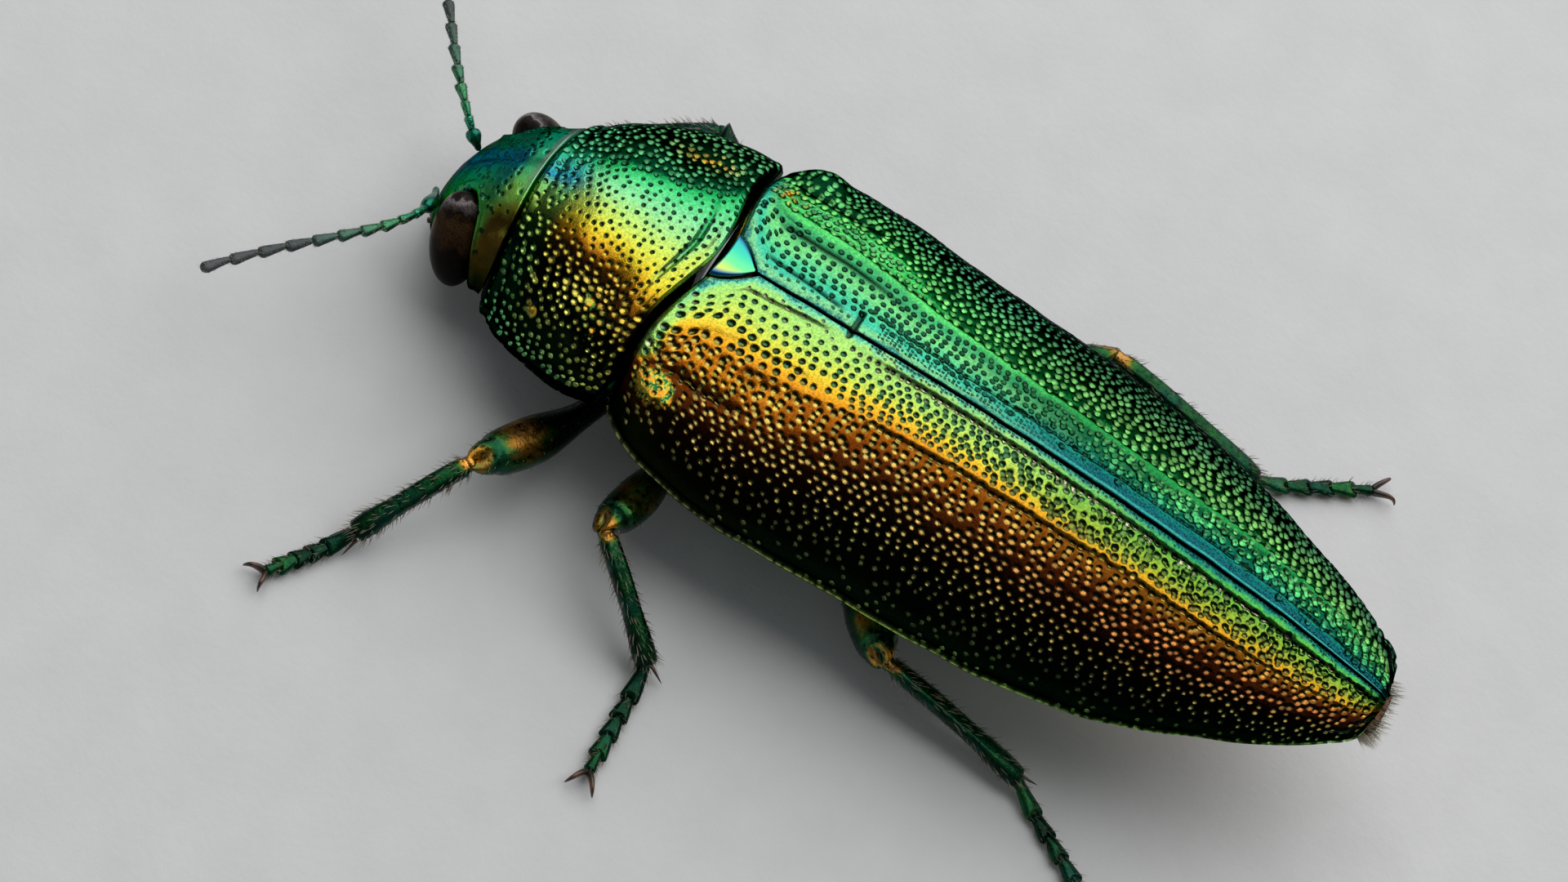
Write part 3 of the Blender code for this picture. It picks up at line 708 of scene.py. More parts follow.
def prothorax(shell):
    rows, dome, keel = ((210, 330, 70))
    row_y = np.linspace(-PRONOTUM_LENGTH, 0, rows)[:, None]
    back = (row_y + PRONOTUM_LENGTH) / PRONOTUM_LENGTH
    turn = half_turns(dome, keel)
    half, edge = pronotum_half_width(row_y), pronotum_edge(row_y)
    reach = np.where(np.sin(turn) >= 0, pronotum_top(row_y) - edge, edge - prosternum(row_y))
    x = half * np.cos(turn)
    y = row_y + (1 - back) ** 2 * (front_line(x) + PRONOTUM_LENGTH)
    y = y + back**2 * (base_line(x) - GROOVE / 2)
    base = np.stack([x, y, edge + reach * np.sin(turn)], -1)
    out = normals(base)
    flat = row_y + 0 * x
    upper = np.sin(turn) > 0
    p = np.where(upper, 1 - 2 * turn / np.pi, np.sign(x))
    height = -0.30 * (bell(x, 3.6, 1.1) + bell(x, -3.6, 1.1)) * bell(flat, -2.3, 1.2) * upper
    height -= 0.14 * bell(x, 0, 0.8) * bell(flat, -0.6, 0.7) * upper
    height += 0.02 * waves(x, flat, 2.4, 5) - 0.14 * ease(flat, -0.12, 0.0) - 0.2 * ease(flat, -6.72, -6.9)
    height += 0.04 * bell(flat, -0.25, 0.14) + 0.05 * bell(flat, -6.6, 0.10) - 0.05 * bell(flat, -6.35, 0.1)
    margin = bell(turn, 0.0, 0.022) + bell(turn, np.pi, 0.022) + bell(turn, 2 * np.pi, 0.022)
    groove = bell(turn, 0.055, 0.02) + bell(turn, np.pi - 0.055, 0.02)
    height += 0.06 * margin - 0.05 * groove
    # Colours and roughness: the smooth back widens towards the base, and punctures with painted glints cover the
    # rest
    smooth = curve((-6.9, 0.19), (-4.8, 0.19), (-2.4, 0.21), (-1.2, 0.25), (-0.5, 0.30), (0, 0.32))(flat)
    across = SMOOTH_MIDDLE + (p - SMOOTH_MIDDLE) * 0.21 / smooth
    arch = bell(flat, -0.85 - 0.9 * (p - 0.05) ** 2, 0.12) * bell(p, 0.06, 0.20)
    height -= 0.15 * arch
    across = across - 0.12 * arch + 0.05 * bell(flat, -0.35, 0.2) * bell(p, 0.06, 0.15)
    rough = np.maximum(ease(np.abs(across - SMOOTH_MIDDLE), 0.19, 0.24), ease(-flat, 4.7, 5.6))
    draw = np.random.default_rng(31)
    arc = np.cumsum(np.linalg.norm(np.gradient(base, axis=1), axis=2)[:, :dome], axis=1)
    arc -= arc.mean(axis=1, keepdims=True)
    seeds, spots = [], []
    for _ in range(14000):
        i, j = draw.uniform(3, rows - 4), draw.uniform(2, dome - 3)
        at = int(i), int(j)
        seeds.append((arc[at], y[at], 1.0 + rough[at] * draw.uniform(-0.2, 0.25), i, j))
    for _, _, _, i, j in spread(seeds, 0.295):
        at = int(i), int(j)
        size = 0.094 + rough[at] * (0.022 + 0.05 * bell(p[at], 0.45, 0.13) + 0.03 * (p[at] < 0))
        size *= draw.uniform(0.75, 1.25)
        gleam = draw.uniform(0.35, 1.0) if rough[at] > 0.4 else 0.3
        spots.append((i, j, size, 0.42 * size + 0.01, -0.30 * np.sign(x[at]), gleam))
    # Each gold spot also holds a large puncture with a full-strength painted glint.
    for place, spot in GOLD_SPOTS:
        spots.append(((1 + spot / PRONOTUM_LENGTH) * (rows - 1), (1 - place) * dome / 2, 0.30, 0.10, -0.30, 1.0))
    for i, j in draw.uniform(0, 1, (900, 2)):
        spots.append((4 + i * (rows - 9), dome + 2 + j * (keel - 5), draw.uniform(0.14, 0.2), 0.06, 0, 0))
    cut, pit, bead = punctures(base, spots, 0.6)
    shade = most(
        np.where(upper, 0.85 * ease(flat, -0.06, 0.0) + 0.6 * ease(flat, -6.8, -6.9), 0.35), 0.6 * groove,
        0.95 * bell(p, 0.42, 0.08) * ease(flat, -0.42, -0.22) * upper, 0.35 * arch,
    )
    gold = 0.5 * bell(p, -0.41, 0.07) * bell(flat, -2.1, 1.3) + 0.45 * bell(p, 0.56, 0.12) * bell(flat, -1.9, 1.0)
    for place, spot in GOLD_SPOTS:
        gold = gold + bell(p, place, 0.03) * bell(flat, spot, 0.3)
    rear, gold = ease(-flat, 4.2, 6.6) * upper, np.minimum(gold, 1) * upper
    limb(
        "skin_prothorax", base + out * (height - cut)[..., None], shell, across=(across, 0), pit=(pit, 0),
        bead=(bead * upper, 0), shade=(shade, 1), rear=(rear, 0), gold=(gold, 0),
    )


def turned(points, amount=1.0):
    """The points, turned with the head about the vertical through the neck."""
    angle = np.radians(HEAD_TURN) * amount
    p = np.asarray(points, float) - NECK
    x = p[..., 0] * np.cos(angle) - p[..., 1] * np.sin(angle)
    y = p[..., 0] * np.sin(angle) + p[..., 1] * np.cos(angle)
    return np.stack([x, y, p[..., 2]], -1) + NECK


def head_frame(lean_x, lean_y=0):
    """Rotation matrix of a part of the head that leans about X, then Y, in degrees."""
    return np.array(Euler(np.radians([lean_x, lean_y, HEAD_TURN])).to_matrix())


def ellipsoid(centre, radii, turn, rows, columns):
    """Rings of a whole ellipsoid, its poles along its own Z, and of the unit sphere."""
    down, around = np.linspace(0.02, np.pi - 0.02, rows)[:, None], circle(columns)
    out = np.sin(down)
    sphere = np.stack([out * np.cos(around), out * np.sin(around), np.cos(down) + 0 * around], -1)
    return (sphere * radii) @ turn.T + centre, sphere


def head(shell):
    rows, around = ((150, 300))
    y = HEAD_FRONT + (np.linspace(0, 1, rows) ** 1.7)[:, None] * (-PRONOTUM_LENGTH - 0.02 - HEAD_FRONT)
    back = (y - HEAD_FRONT) / (-PRONOTUM_LENGTH - HEAD_FRONT)
    turn, boxy = circle(around), 2 / 2.3
    top, bottom = head_top(y), head_bottom(y)
    edge = 0.35 * top + 0.65 * bottom
    x = head_half_width(y) * powered(np.cos(turn), boxy)
    z = edge + np.where(np.sin(turn) >= 0, top - edge, edge - bottom) * powered(np.sin(turn), boxy)
    base = np.stack([x, y + back**3 * (front_line(x) + PRONOTUM_LENGTH), z], -1)
    base = turned(base, 1 - back**3)
    flat, upper = y + 0 * turn, np.sin(turn) > 0
    # The furrow between the brows, the brow over each eye, and the groove round each eye
    height = -0.10 * bell(x, 0, 0.22) * ease(flat, -9.9, -9.0) * ease(flat, -6.9, -7.8) * upper
    height += 0.10 * bell(np.abs(x), 1.9, 0.5) * bell(flat, -8.4, 0.8) * upper
    height -= 0.10 * bell(flat, -9.35, 0.22) * bell(x, 0, 1.2) * upper
    for side in (1, -1):
        local = (base - turned((side * EYE[0], *EYE[1:]))) @ head_frame(EYE_LEAN[0], side * EYE_LEAN[1])
        near = np.linalg.norm(local / EYE_RADII, axis=-1)
        height += 0.07 * bell(near, 1.26, 0.09) - 0.35 * ease(near, 1.16, 0.95)
    draw = np.random.default_rng(41)
    seeds, spots = [], []
    for _ in range(7000):
        i, j = draw.uniform(3, rows - 6), draw.uniform(0, around - 1)
        place = base[int(i), int(j)]
        seeds.append((place[0] + 0.8 * place[2], place[1] + 0.6 * place[2], 1.0, i, j))
    for _, _, _, i, j in spread(seeds, 0.2):
        spot = y[int(i), 0]
        if spot < HEAD_FRONT + 0.3 or spot > -7.45 and draw.uniform() < 0.75:
            continue
        size = draw.uniform(0.08, 0.125)
        spots.append((i, j, size, 0.40 * size, 0, 0.7 * (spot < -7.9)))
    cut, pit, bead = punctures(base, spots)
    limb(
        "skin_head", base + normals(base) * (height - cut)[..., None], shell,
        across=(np.where(upper, x / 3.9, np.sign(x)), 0), pit=(pit, 0), bead=(bead * upper, 0),
        neck=(ease(flat, -8.1, -6.95), 0), under=(ease(z, -1.2, -3.2), 1),
    )


def head_material():
    s = Shader("head_shell", "shell_green", tint=SHELL_TINT)
    across, neck = s.uneven("across", 0.5, 0.8), s.attribute("neck")
    front = s.across(
        across, (-1000, 4, 50, 50), (-500, 10, 140, 80), (-200, 20, 260, 160), (0, 10, 160, 300),
        (200, 20, 300, 200), (500, 60, 340, 60), (1000, 50, 120, 10),
    )
    collar = s.across(
        across, (-1000, 10, 200, 160), (-400, 20, 450, 260), (0, 60, 600, 260), (320, 250, 700, 120),
        (520, 260, 300, 30), (720, 60, 35, 6), (1000, 20, 20, 5),
    )
    colour = s.mix(front, collar, s.ranged(neck, 0.15, 0.7))
    colour = s.painted_pit_shade(colour, (0.003, 0.02, 0.014), 0.1, 0.5, 0.9)
    # Painted shade: the head's lower side darkened towards dark green.
    colour = s.mix(colour, (0.006, 0.03, 0.012), s.times(s.attribute("under"), 0.6))
    # Painted glints, green, in the punctures at the front of the head.
    colour = s.mix(colour, (0.07, 0.46, 0.34), s.times(s.attribute("bead"), 0.7))
    # Painted highlight: a soft pale pink smear on the collar where the head meets the pronotum.
    painted_collar_highlight = s.times(s.ranged(neck, 0.90, 0.999), s.ranged(s.attribute("across"), 0.45, 0.05))
    colour = s.mix(colour, (0.46, 0.36, 0.36), s.times(painted_collar_highlight, 0.5))
    return s.finish(colour, (0.3, 0.24, 0.36), s.bumps(0.04, 2.0, 0.06, 0.6), 0.006)


def eyes():
    s = Shader("eye_lens", "eye", metallic=0.0, roughness=0.25, coat=0.03, specular=0.03)
    # The eye runs dark below, brown, dark, then a pale painted highlight high on its inner side, and dark at its
    # top.
    colour = s.across(
        s.uneven("tall", 0.8, 0.5, 4.0), (-1000, 2, 1.5, 1), (-500, 4, 2, 1), (-160, 50, 24, 9), (160, 65, 32, 12),
        (360, 10, 6, 4), (600, 100, 80, 80), (740, 340, 290, 300), (840, 40, 30, 25), (1000, 10, 7, 6),
    )
    colour = s.mix(colour, (0.003, 0.002, 0.001), s.times(s.ranged(s.cells(0.05), 0.3, 0.7), 0.6))
    lens = s.finish(colour, None, s.cells(0.05), 0.008)
    for side, name in ((1, "left"), (-1, "right")):
        turn = head_frame(EYE_LEAN[0], side * EYE_LEAN[1])
        rings, sphere = ellipsoid(turned((side * EYE[0], *EYE[1:])), EYE_RADII, turn, 60, 80)
        # tall grows towards the eye's top and its inner side, where its painted highlight lies.
        tall = sphere[..., 2] - 0.45 * sphere[..., 0] * side
        limb(f"skin_eye_{name}", rings, lens, tall=(tall, (1, -1)))


def scutellum():
    s = Shader("scutellum_shell", "shell_green", roughness=0.24, coat=0.15)
    colour = s.across(
        s.attribute("across"), (-1000, 20, 300, 420), (-300, 40, 520, 340), (200, 140, 660, 240),
        (700, 620, 680, 80), (1000, 500, 500, 50),
    )
    colour = s.mix(colour, (0.01, 0.12, 0.32), s.ranged(s.attribute("edge"), 0.62, 0.9))
    start = base_line(0) + GROOVE / 2
    y = np.linspace(start + 0.02, start + 1.2, 40)[:, None]
    half = np.maximum(scutellum_half_width(y) - 0.06, 0.08)
    turn, share = circle(60), (y - start) / 1.3
    x, lift = half * powered(np.cos(turn), 0.6), powered(np.sin(turn), 0.6)
    dip = 0.08 * bell(x, 0, 0.35) * bell(share, 0.4, 0.3) * (lift > 0)
    z = elytra_top(y) - 0.20 + 0.25 * lift * (1 - 0.25 * share) - dip
    rings = np.stack([x, y + (1 - share) * (base_line(x) - base_line(0)), z], -1)
    border = most(np.abs(x) / half, 1 - share / 0.15, (share - 0.8) / 0.2)
    shell = s.finish(colour, None, s.noise(0.05, 2.0), 0.004)
    limb("skin_scutellum", rings, shell, across=(x / 1.1, 0), edge=(border, 0))


# Limbs, feelers and mouthparts

# Y of a leg's socket and of its hip, then its knee, and X and Y of its ankle and of its toe
LEGS = {
    "fore_left": (-1.4, -0.5, (9.8, -3.05, -2.6), (13.9, -5.3), (17.4, -7.4)),
    "mid_left": (2.6, 2.6, (9.5, 2.1, -2.1), (12.0, 6.2), (17.4, 6.5)),
    "hind_left": (8.6, 9.4, (7.4, 13.2, -2.8), (7.5, 20.0), (10.4, 25.0)),
    "fore_right": (-1.4, -0.5, (-8.7, -2.3, -2.8), (-6.5, -6.4), (-3.2, -9.3)),
    "mid_right": (2.6, 2.6, (-9.1, 5.4, -2.7), (-9.3, 11.4), (-9.9, 16.8)),
    "hind_right": (8.6, 9.4, (-9.3, 14.6, -2.1), (-9.8, 22.3), (-13.2, 27.2)),
}
SOCKET_X, SOCKET_Z = 0.75, -4.1
HIP_X, HIP_Z = 3.3, -4.45
ANKLE_Z, TOE_Z = FLOOR + 0.75, FLOOR + 0.21
FEELERS = {
    "left": ((1.2, -9.95, -2.4), (4.2, -9.2, -0.4), (6.5, -12.6, -0.9), (10.4, -15.0, -0.8)),
    "right": ((-1.6, -9.75, -2.3), (-1.7, -10.7, -1.2), (-4.6, -13.2, -0.9), (-8.17, -15.53, -0.9)),
}
PALPS = ((0.62, (0.10, -0.20, -0.09), 4, 0.12), (0.28, (0.03, -0.18, -0.10), 3, 0.10))
femur_radius = curve((0, 0.42), (0.3, 0.56), (0.65, 0.92), (0.85, 0.84), (0.95, 0.60), (1, 0.50))
tibia_radius = curve((0, 0.27), (0.12, 0.38), (0.6, 0.35), (0.92, 0.46), (1, 0.40))
scape_radius = curve((0, 0.5), (0.3, 0.6), (0.75, 1.15), (1, 0.85))


def stations(count, front, back):
    """Places 0 to 1 along a limb, close together at its ends, and the factor that rounds those ends."""
    t = (1 - np.cos(np.linspace(0.02, 0.98, count) * np.pi)) / 2
    t = (t - t[0]) / (t[-1] - t[0])
    near = np.minimum(np.clip(t / front, 0.02, 1), np.clip((1 - t) / back, 0.02, 1))
    return t, np.sqrt(1 - (1 - near) ** 2)


def sweep(centres, wide, high, around, up=UP):
    """Rings of an elliptic tube; the first points of each lie to the side, at right angles to up."""
    along = np.gradient(centres, axis=0)
    side = unit(np.cross(along, up))
    top = unit(np.cross(side, along))
    sideways = (np.asarray(wide)[:, None] * np.cos(circle(around)))[..., None] * side[:, None]
    upwards = (np.asarray(high)[:, None] * np.sin(circle(around)))[..., None] * top[:, None]
    return centres[:, None] + sideways + upwards


def span(start, end, t, bulge=(0, 0, 0)):
    start, end = np.array(start, float), np.array(end, float)
    return start + (end - start) * t[:, None] + np.array(bulge) * (4 * t * (1 - t))[:, None]


def pitted(rings, count, size, depth, seed, ends=4):
    """The rings with small round hollows, and each point's share in one."""
    draw = np.random.default_rng(seed)
    rows, around = rings.shape[:2]
    spots = [
        (draw.uniform(ends, rows - ends), draw.uniform(1, around - 2), size * draw.uniform(0.7, 1.2), depth, 0, 0)
        for _ in range(count)
    ]
    cut, pit, _ = punctures(rings, spots)
    return rings - normals(rings) * cut[..., None], pit


def leg(name, shell, under, horn, tufts):
    """One leg but its spurs, which it returns."""
    socket_y, hip_y, knee, ankle, toe = LEGS[name]
    side = math.copysign(1, knee[0])
    socket, hip, knee = np.array([(side * SOCKET_X, socket_y, SOCKET_Z), (side * HIP_X, hip_y, HIP_Z), knee])
    ankle, toe = np.array([(*ankle, ANKLE_Z), (*toe, TOE_Z)])
    out, thigh, shin = unit(hip - socket), unit(knee - hip), unit(ankle - knee)
    seed = 100 + 10 * list(LEGS).index(name)
    draw = np.random.default_rng(seed)
    shaded = name == "fore_right"

    # Coxa: a short spindle in its socket
    t, ends = stations(30, 0.4, 0.4)
    rings = sweep(span(hip - out * 2.6, hip - out * 0.1, t), 0.68 * ends, 0.6 * ends, 36)
    rings, pit = pitted(rings, 60, 0.10, 0.03, seed)
    limb(f"skin_coxa_{name}", rings, under, pit=pit, glow=0.2, across=0.75)

    # Femur: a spindle with a ridge, its end parted into the two lobes that hold the shin
    t, ends = stations(72, 0.05, 0.07)
    radius, middle = femur_radius(t) * ends, span(hip - thigh * 0.1, knee + thigh * 0.12, t, (0, 0.3, 0))
    rings, turn, t = sweep(middle, radius * 0.85, radius, 48, unit(np.cross(thigh, shin))), circle(48), t[:, None]
    flat = np.abs(np.sin(turn))
    split = 0.30 * flat**3 * ease(t, 0.9, 1.0) - 0.30 * (1 - flat) * ease(t, 0.86, 1.0)
    rings = rings + split[..., None] * thigh
    height = 0.04 * bell(np.cos(turn), 1, 0.12) * np.sin(np.pi * t) - 0.10 * bell(t, 0.045, 0.015)
    height = height - 0.05 * bell(t, 0.90, 0.012) * (1 - 0.6 * np.abs(np.cos(turn)))
    rings, pit = pitted(rings + normals(rings) * height[..., None], 260, 0.075, 0.025, seed + 1)
    rise = normals(rings)[..., 2]
    # Painted highlight: copper on the upper faces of the thigh's middle and gold on its knee end, weaker on the
    # shaded fore right leg.
    lit = 0.85 * np.clip(0.3 + 0.7 * rise, 0, 1) * bell(t, 0.72, 0.18) * (0.2 if shaded else 1.0)
    painted_knee_highlight = (0.0 if shaded else 0.62) * ease(t, 0.90, 0.97) * ease(rise, -0.2, 0.5)
    limb(f"skin_femur_{name}", rings, shell, pit=pit, glow=most(lit, painted_knee_highlight), tip=t)
    tufts.add(rings, 70, (0.16, 0.28), 0.014, thigh * 0.8, draw, (0.12, 0.88))

    # Shin: slender, keeled, wider at its end, with teeth along its side
    t, ends = stations(84, 0.035, 0.03)
    radius, middle = tibia_radius(t) * ends, span(knee + thigh * 0.02, ankle + shin * 0.02, t, (0, 0, 0.2))
    rings, turn, t = sweep(middle, radius, radius * 0.8, 40), circle(40), t[:, None]
    keels = 0.05 * (bell(np.sin(2 * turn), 1, 0.35) + bell(np.sin(2 * turn), -1, 0.35)) * np.sin(np.pi * t)
    teeth = 0.03 * (np.sin(t * 60) > 0.5) * bell(np.sin(turn), 0.0, 0.4) * ease(t, 0.2, 0.35)
    height = keels - 0.06 * bell(t, 0.075, 0.02) + teeth
    rings, pit = pitted(rings + normals(rings) * height[..., None], 150, 0.06, 0.02, seed + 2)
    rise = normals(rings)[..., 2]
    # Painted highlight on the shin's upper faces and beside the knee.
    glow = 0.55 * bell(t, 0.06, 0.07) * ease(rise, -0.2, 0.5) + 0.25 * ease(rise, 0.4, 0.95)
    glow = glow * (0.2 if shaded else 1.0)
    limb(f"skin_tibia_{name}", rings, shell, pit=pit, glow=glow, tip=t * 0.5)
    tufts.add(rings, 260, (0.22, 0.42), 0.016, shin * 0.9, draw, (0.15, 0.97))
    spurs, aside, u = [], np.cross(shin, UP), np.linspace(0, 1, 10)[:, None]
    for k in (-1, 1):
        path = ankle + aside * 0.26 * k - (0, 0, 0.14) + (shin * 0.75 + aside * 0.22 * k) * u
        path[:, 2] -= 0.05 * u[:, 0] ** 2
        thick = 0.075 * (1.02 - u[:, 0]) ** 0.7
        spurs.append(loft(sweep(path, thick, thick, 10)))

    # Foot: four heart-shaped segments on pale pads, a long one, and two hooks
    ahead = unit((toe - ankle) * (1, 1, 0))
    across = np.cross(ahead, UP)
    start = np.array([*ankle[:2], toe[2]]) + ahead * 0.4
    reach = (toe - start) * 0.86
    hearts, pads = [], []
    for k in range(5):
        t, ends = stations(26, 0.10, 0.16)
        last = k == 4
        place = (k - 0.12 + t * 1.12 if last else k + 0.02 + t * 0.99) / 5
        rise = 0.35 * np.clip(1 - place * 0.86 * 4, 0, 1) ** 2 + 0.05 * bell(t, 0.35, 0.3) + 0.10
        centres = start + reach * place[:, None] + rise[:, None] * UP
        if k == 0:
            low, middle, u = start + reach * 0.2 + (0, 0, 0.10), start + reach * 0.03 + (0, 0, 0.28), t[:, None]
            centres = (ankle - shin * 0.15) * (1 - u) ** 2 + middle * 2 * u * (1 - u) + low * u**2
        wide = (0.15 + 0.11 * t**1.4 if last else 0.22 + 0.20 * t**1.6) * ends
        rings = sweep(centres, wide, (0.16 + 0.05 * t) * ends, 26)
        split = 0.26 * np.abs(np.cos(circle(26))) ** 2 * ease(t, 0.6, 1)[:, None] * (not last)
        rings = lifted(rings + split[..., None] * ahead, 0.02)
        tufts.add(rings, 34, (0.16, 0.34), 0.013, ahead * 0.9, draw, (0.1, 0.95))
        hearts.append(loft(rings))
        if not last:
            t, ends = stations(14, 0.4, 0.4)
            low = start + reach * ((k + 0.62 + t * 0.42) / 5)[:, None]
            low[:, 2] = FLOOR + 0.10
            pads.append(loft(lifted(sweep(low, 0.30 * ends, 0.10 * ends, 18), 0)))
    points, faces, number = joined(hearts + pads)
    pad = (number >= len(hearts)) * 1.0
    glow = 0.35 * (1 - pad) * np.random.default_rng(seed + 3).uniform(0.2, 1, len(hearts + pads))[number]
    make(f"skin_tarsus_{name}", points, faces, shell, pit=0 * pad, pad=pad, glow=glow, tip=0 * pad + 0.5)
    begin, hooks, u = start + reach, [], np.linspace(0, 1, 26)
    length = np.linalg.norm(toe - begin)
    for k in (-1, 1):
        path = begin + ahead * (0.02 + (length + 0.06) * np.sin(u * 1.45) / math.sin(1.45))[:, None]
        path = path + across * (k * (0.07 + 0.50 * u**0.75))[:, None]
        path[:, 2] = FLOOR + 0.30 + 0.26 * np.sin(np.pi * u * 0.9) - 0.16 * u**2
        thick = 0.17 * (1.03 - u) ** 0.62
        hooks.append(loft(lifted(sweep(path, thick * 0.8, thick, 18))))
    points, faces, _ = joined(hooks)
    tip = np.clip((points - begin) @ ahead / length, 0, 1)
    make(f"skin_claws_{name}", points, faces, horn, tip=tip)
    return spurs


class Tufts:
    """Short tapered hairs, each a closed three-sided spike, gathered into one piece."""

    def __init__(self):
        self.hairs = []

    def add(self, rings, count, lengths, radius, lean, draw, between, normal=None, chosen=True):
        """Scatters hairs, which lean along a vector, over a surface between two shares of its rows."""
        normal = normals(rings) if normal is None else normal
        rows, around = rings.shape[:2]
        i = draw.integers(*(int(share * rows) for share in between), count)
        j = draw.integers(0, around, count)
        keep = np.broadcast_to(chosen, (rows, around))[i, j]
        i, j = i[keep], j[keep]
        out = unit(normal[i, j] + lean + draw.normal(0, 0.22, (len(i), 3)))
        cell = len(self.hairs)
        corner = np.array([cell % 8, cell // 8 % 8]) / 8
        uv = corner + (np.stack([j / around, i / rows], -1) * 0.97 + 0.01) / 8
        room = np.maximum(BACK - rings[i, j, 1], 0.1) / np.maximum(out[:, 1] + 0.25 * lean[1], 0.05)
        length = np.minimum(draw.uniform(*lengths, len(i)), room)[:, None]
        root = rings[i, j] - normal[i, j] * 0.02
        self.hairs.append((root, out, length, np.full_like(length, radius), uv, np.tile(lean, (len(i), 1))))

    def build(self, name, look):
        root, out, length, radius, uv, lean = (np.concatenate(part) for part in zip(*self.hairs))
        side = unit(np.cross(out, (0.3, 0.5, 0.81)))
        top = np.cross(out, side)
        points, places, tips = [], [], []
        for t, size in ((0, 1.0), (0.4, 0.85), (0.75, 0.5)):
            centre = root + (out * t + lean * 0.25 * t * t) * length
            for turn in circle(3):
                points.append(centre + (side * math.cos(turn) + top * math.sin(turn)) * radius * size)
                places.append(uv + (0.0014 * math.cos(turn), 0.003 * t))
                tips.append(t)
        points.append(root + (out + lean * 0.25) * length)
        places.append(uv + (0, 0.003))
        points, places = lifted(np.stack(points, 1)), np.stack(places, 1)
        corners = np.arange(len(root))[:, None, None] * 10
        tri = [(6 + k, 6 + (k + 1) % 3, 9) for k in range(3)] + [(2, 1, 0)]
        faces = [(corners + np.array(f)).reshape(-1, len(f[0])) for f in (quads(3, 3, True), tri)]
        tip = np.tile([*tips, 1.0], len(root))
        make(name, points, faces, look, uv=places.reshape(-1, 2), tip=tip)


def feeler(name, points, shell, tufts):
    """The scape, then a chain of saw-toothed segments along a curve through four points."""
    a, b, c, d = (np.array(p, float) for p in points)
    side = unit(np.cross(UP, d - a))
    draw = np.random.default_rng(61 if name == "left" else 62)
    thick, begin = 0.26, 0.145
    step = (1 - begin) / 10

    def spot(t):
        t = t[:, None]
        return a * (1 - t) ** 3 + b * 3 * t * (1 - t) ** 2 + c * 3 * t**2 * (1 - t) + d * t**3

    t, ends = stations(40, 0.15, 0.12)
    radius = thick * scape_radius(t) * ends
    rings, pit = pitted(sweep(spot(t * 0.20 - 0.055), radius, radius, 32), 50, 0.06, 0.02, 63)
    limb(f"skin_scape_{name}", rings, shell, along=0.0, pit=pit)
    parts, along, pits = [], [], []
    for k in range(10):
        t, ends = stations(30, 0.10, 0.22)
        place = begin + step * (k - 0.10 + (1.075 if k < 9 else 1.055) * t)
        size = thick * (1 - 0.08 * place)
        saw = (k >= 2) * t**1.3
        high = size * (0.46 + 0.30 * t**0.8) * ends
        centres = spot(place) + side * (size * 0.22 * saw)[:, None]
        rings = sweep(centres, high + size * 0.34 * saw * ends, high, 26)
        rings, pit = pitted(rings, 26, 0.05, 0.018, 64 + k, 2)
        tufts.add(rings, 60, (0.07, 0.13), 0.010, unit(d - a) * 0.9, draw, (0.1, 0.95))
        parts.append(loft(rings))
        along.append(flat_grid(place[:, None], rings))
        pits.append(flat_grid(pit, rings))
    along, pits = np.concatenate(along), np.concatenate(pits)
    make(f"skin_feeler_{name}", *joined(parts)[:2], shell, along=along, pit=pits)


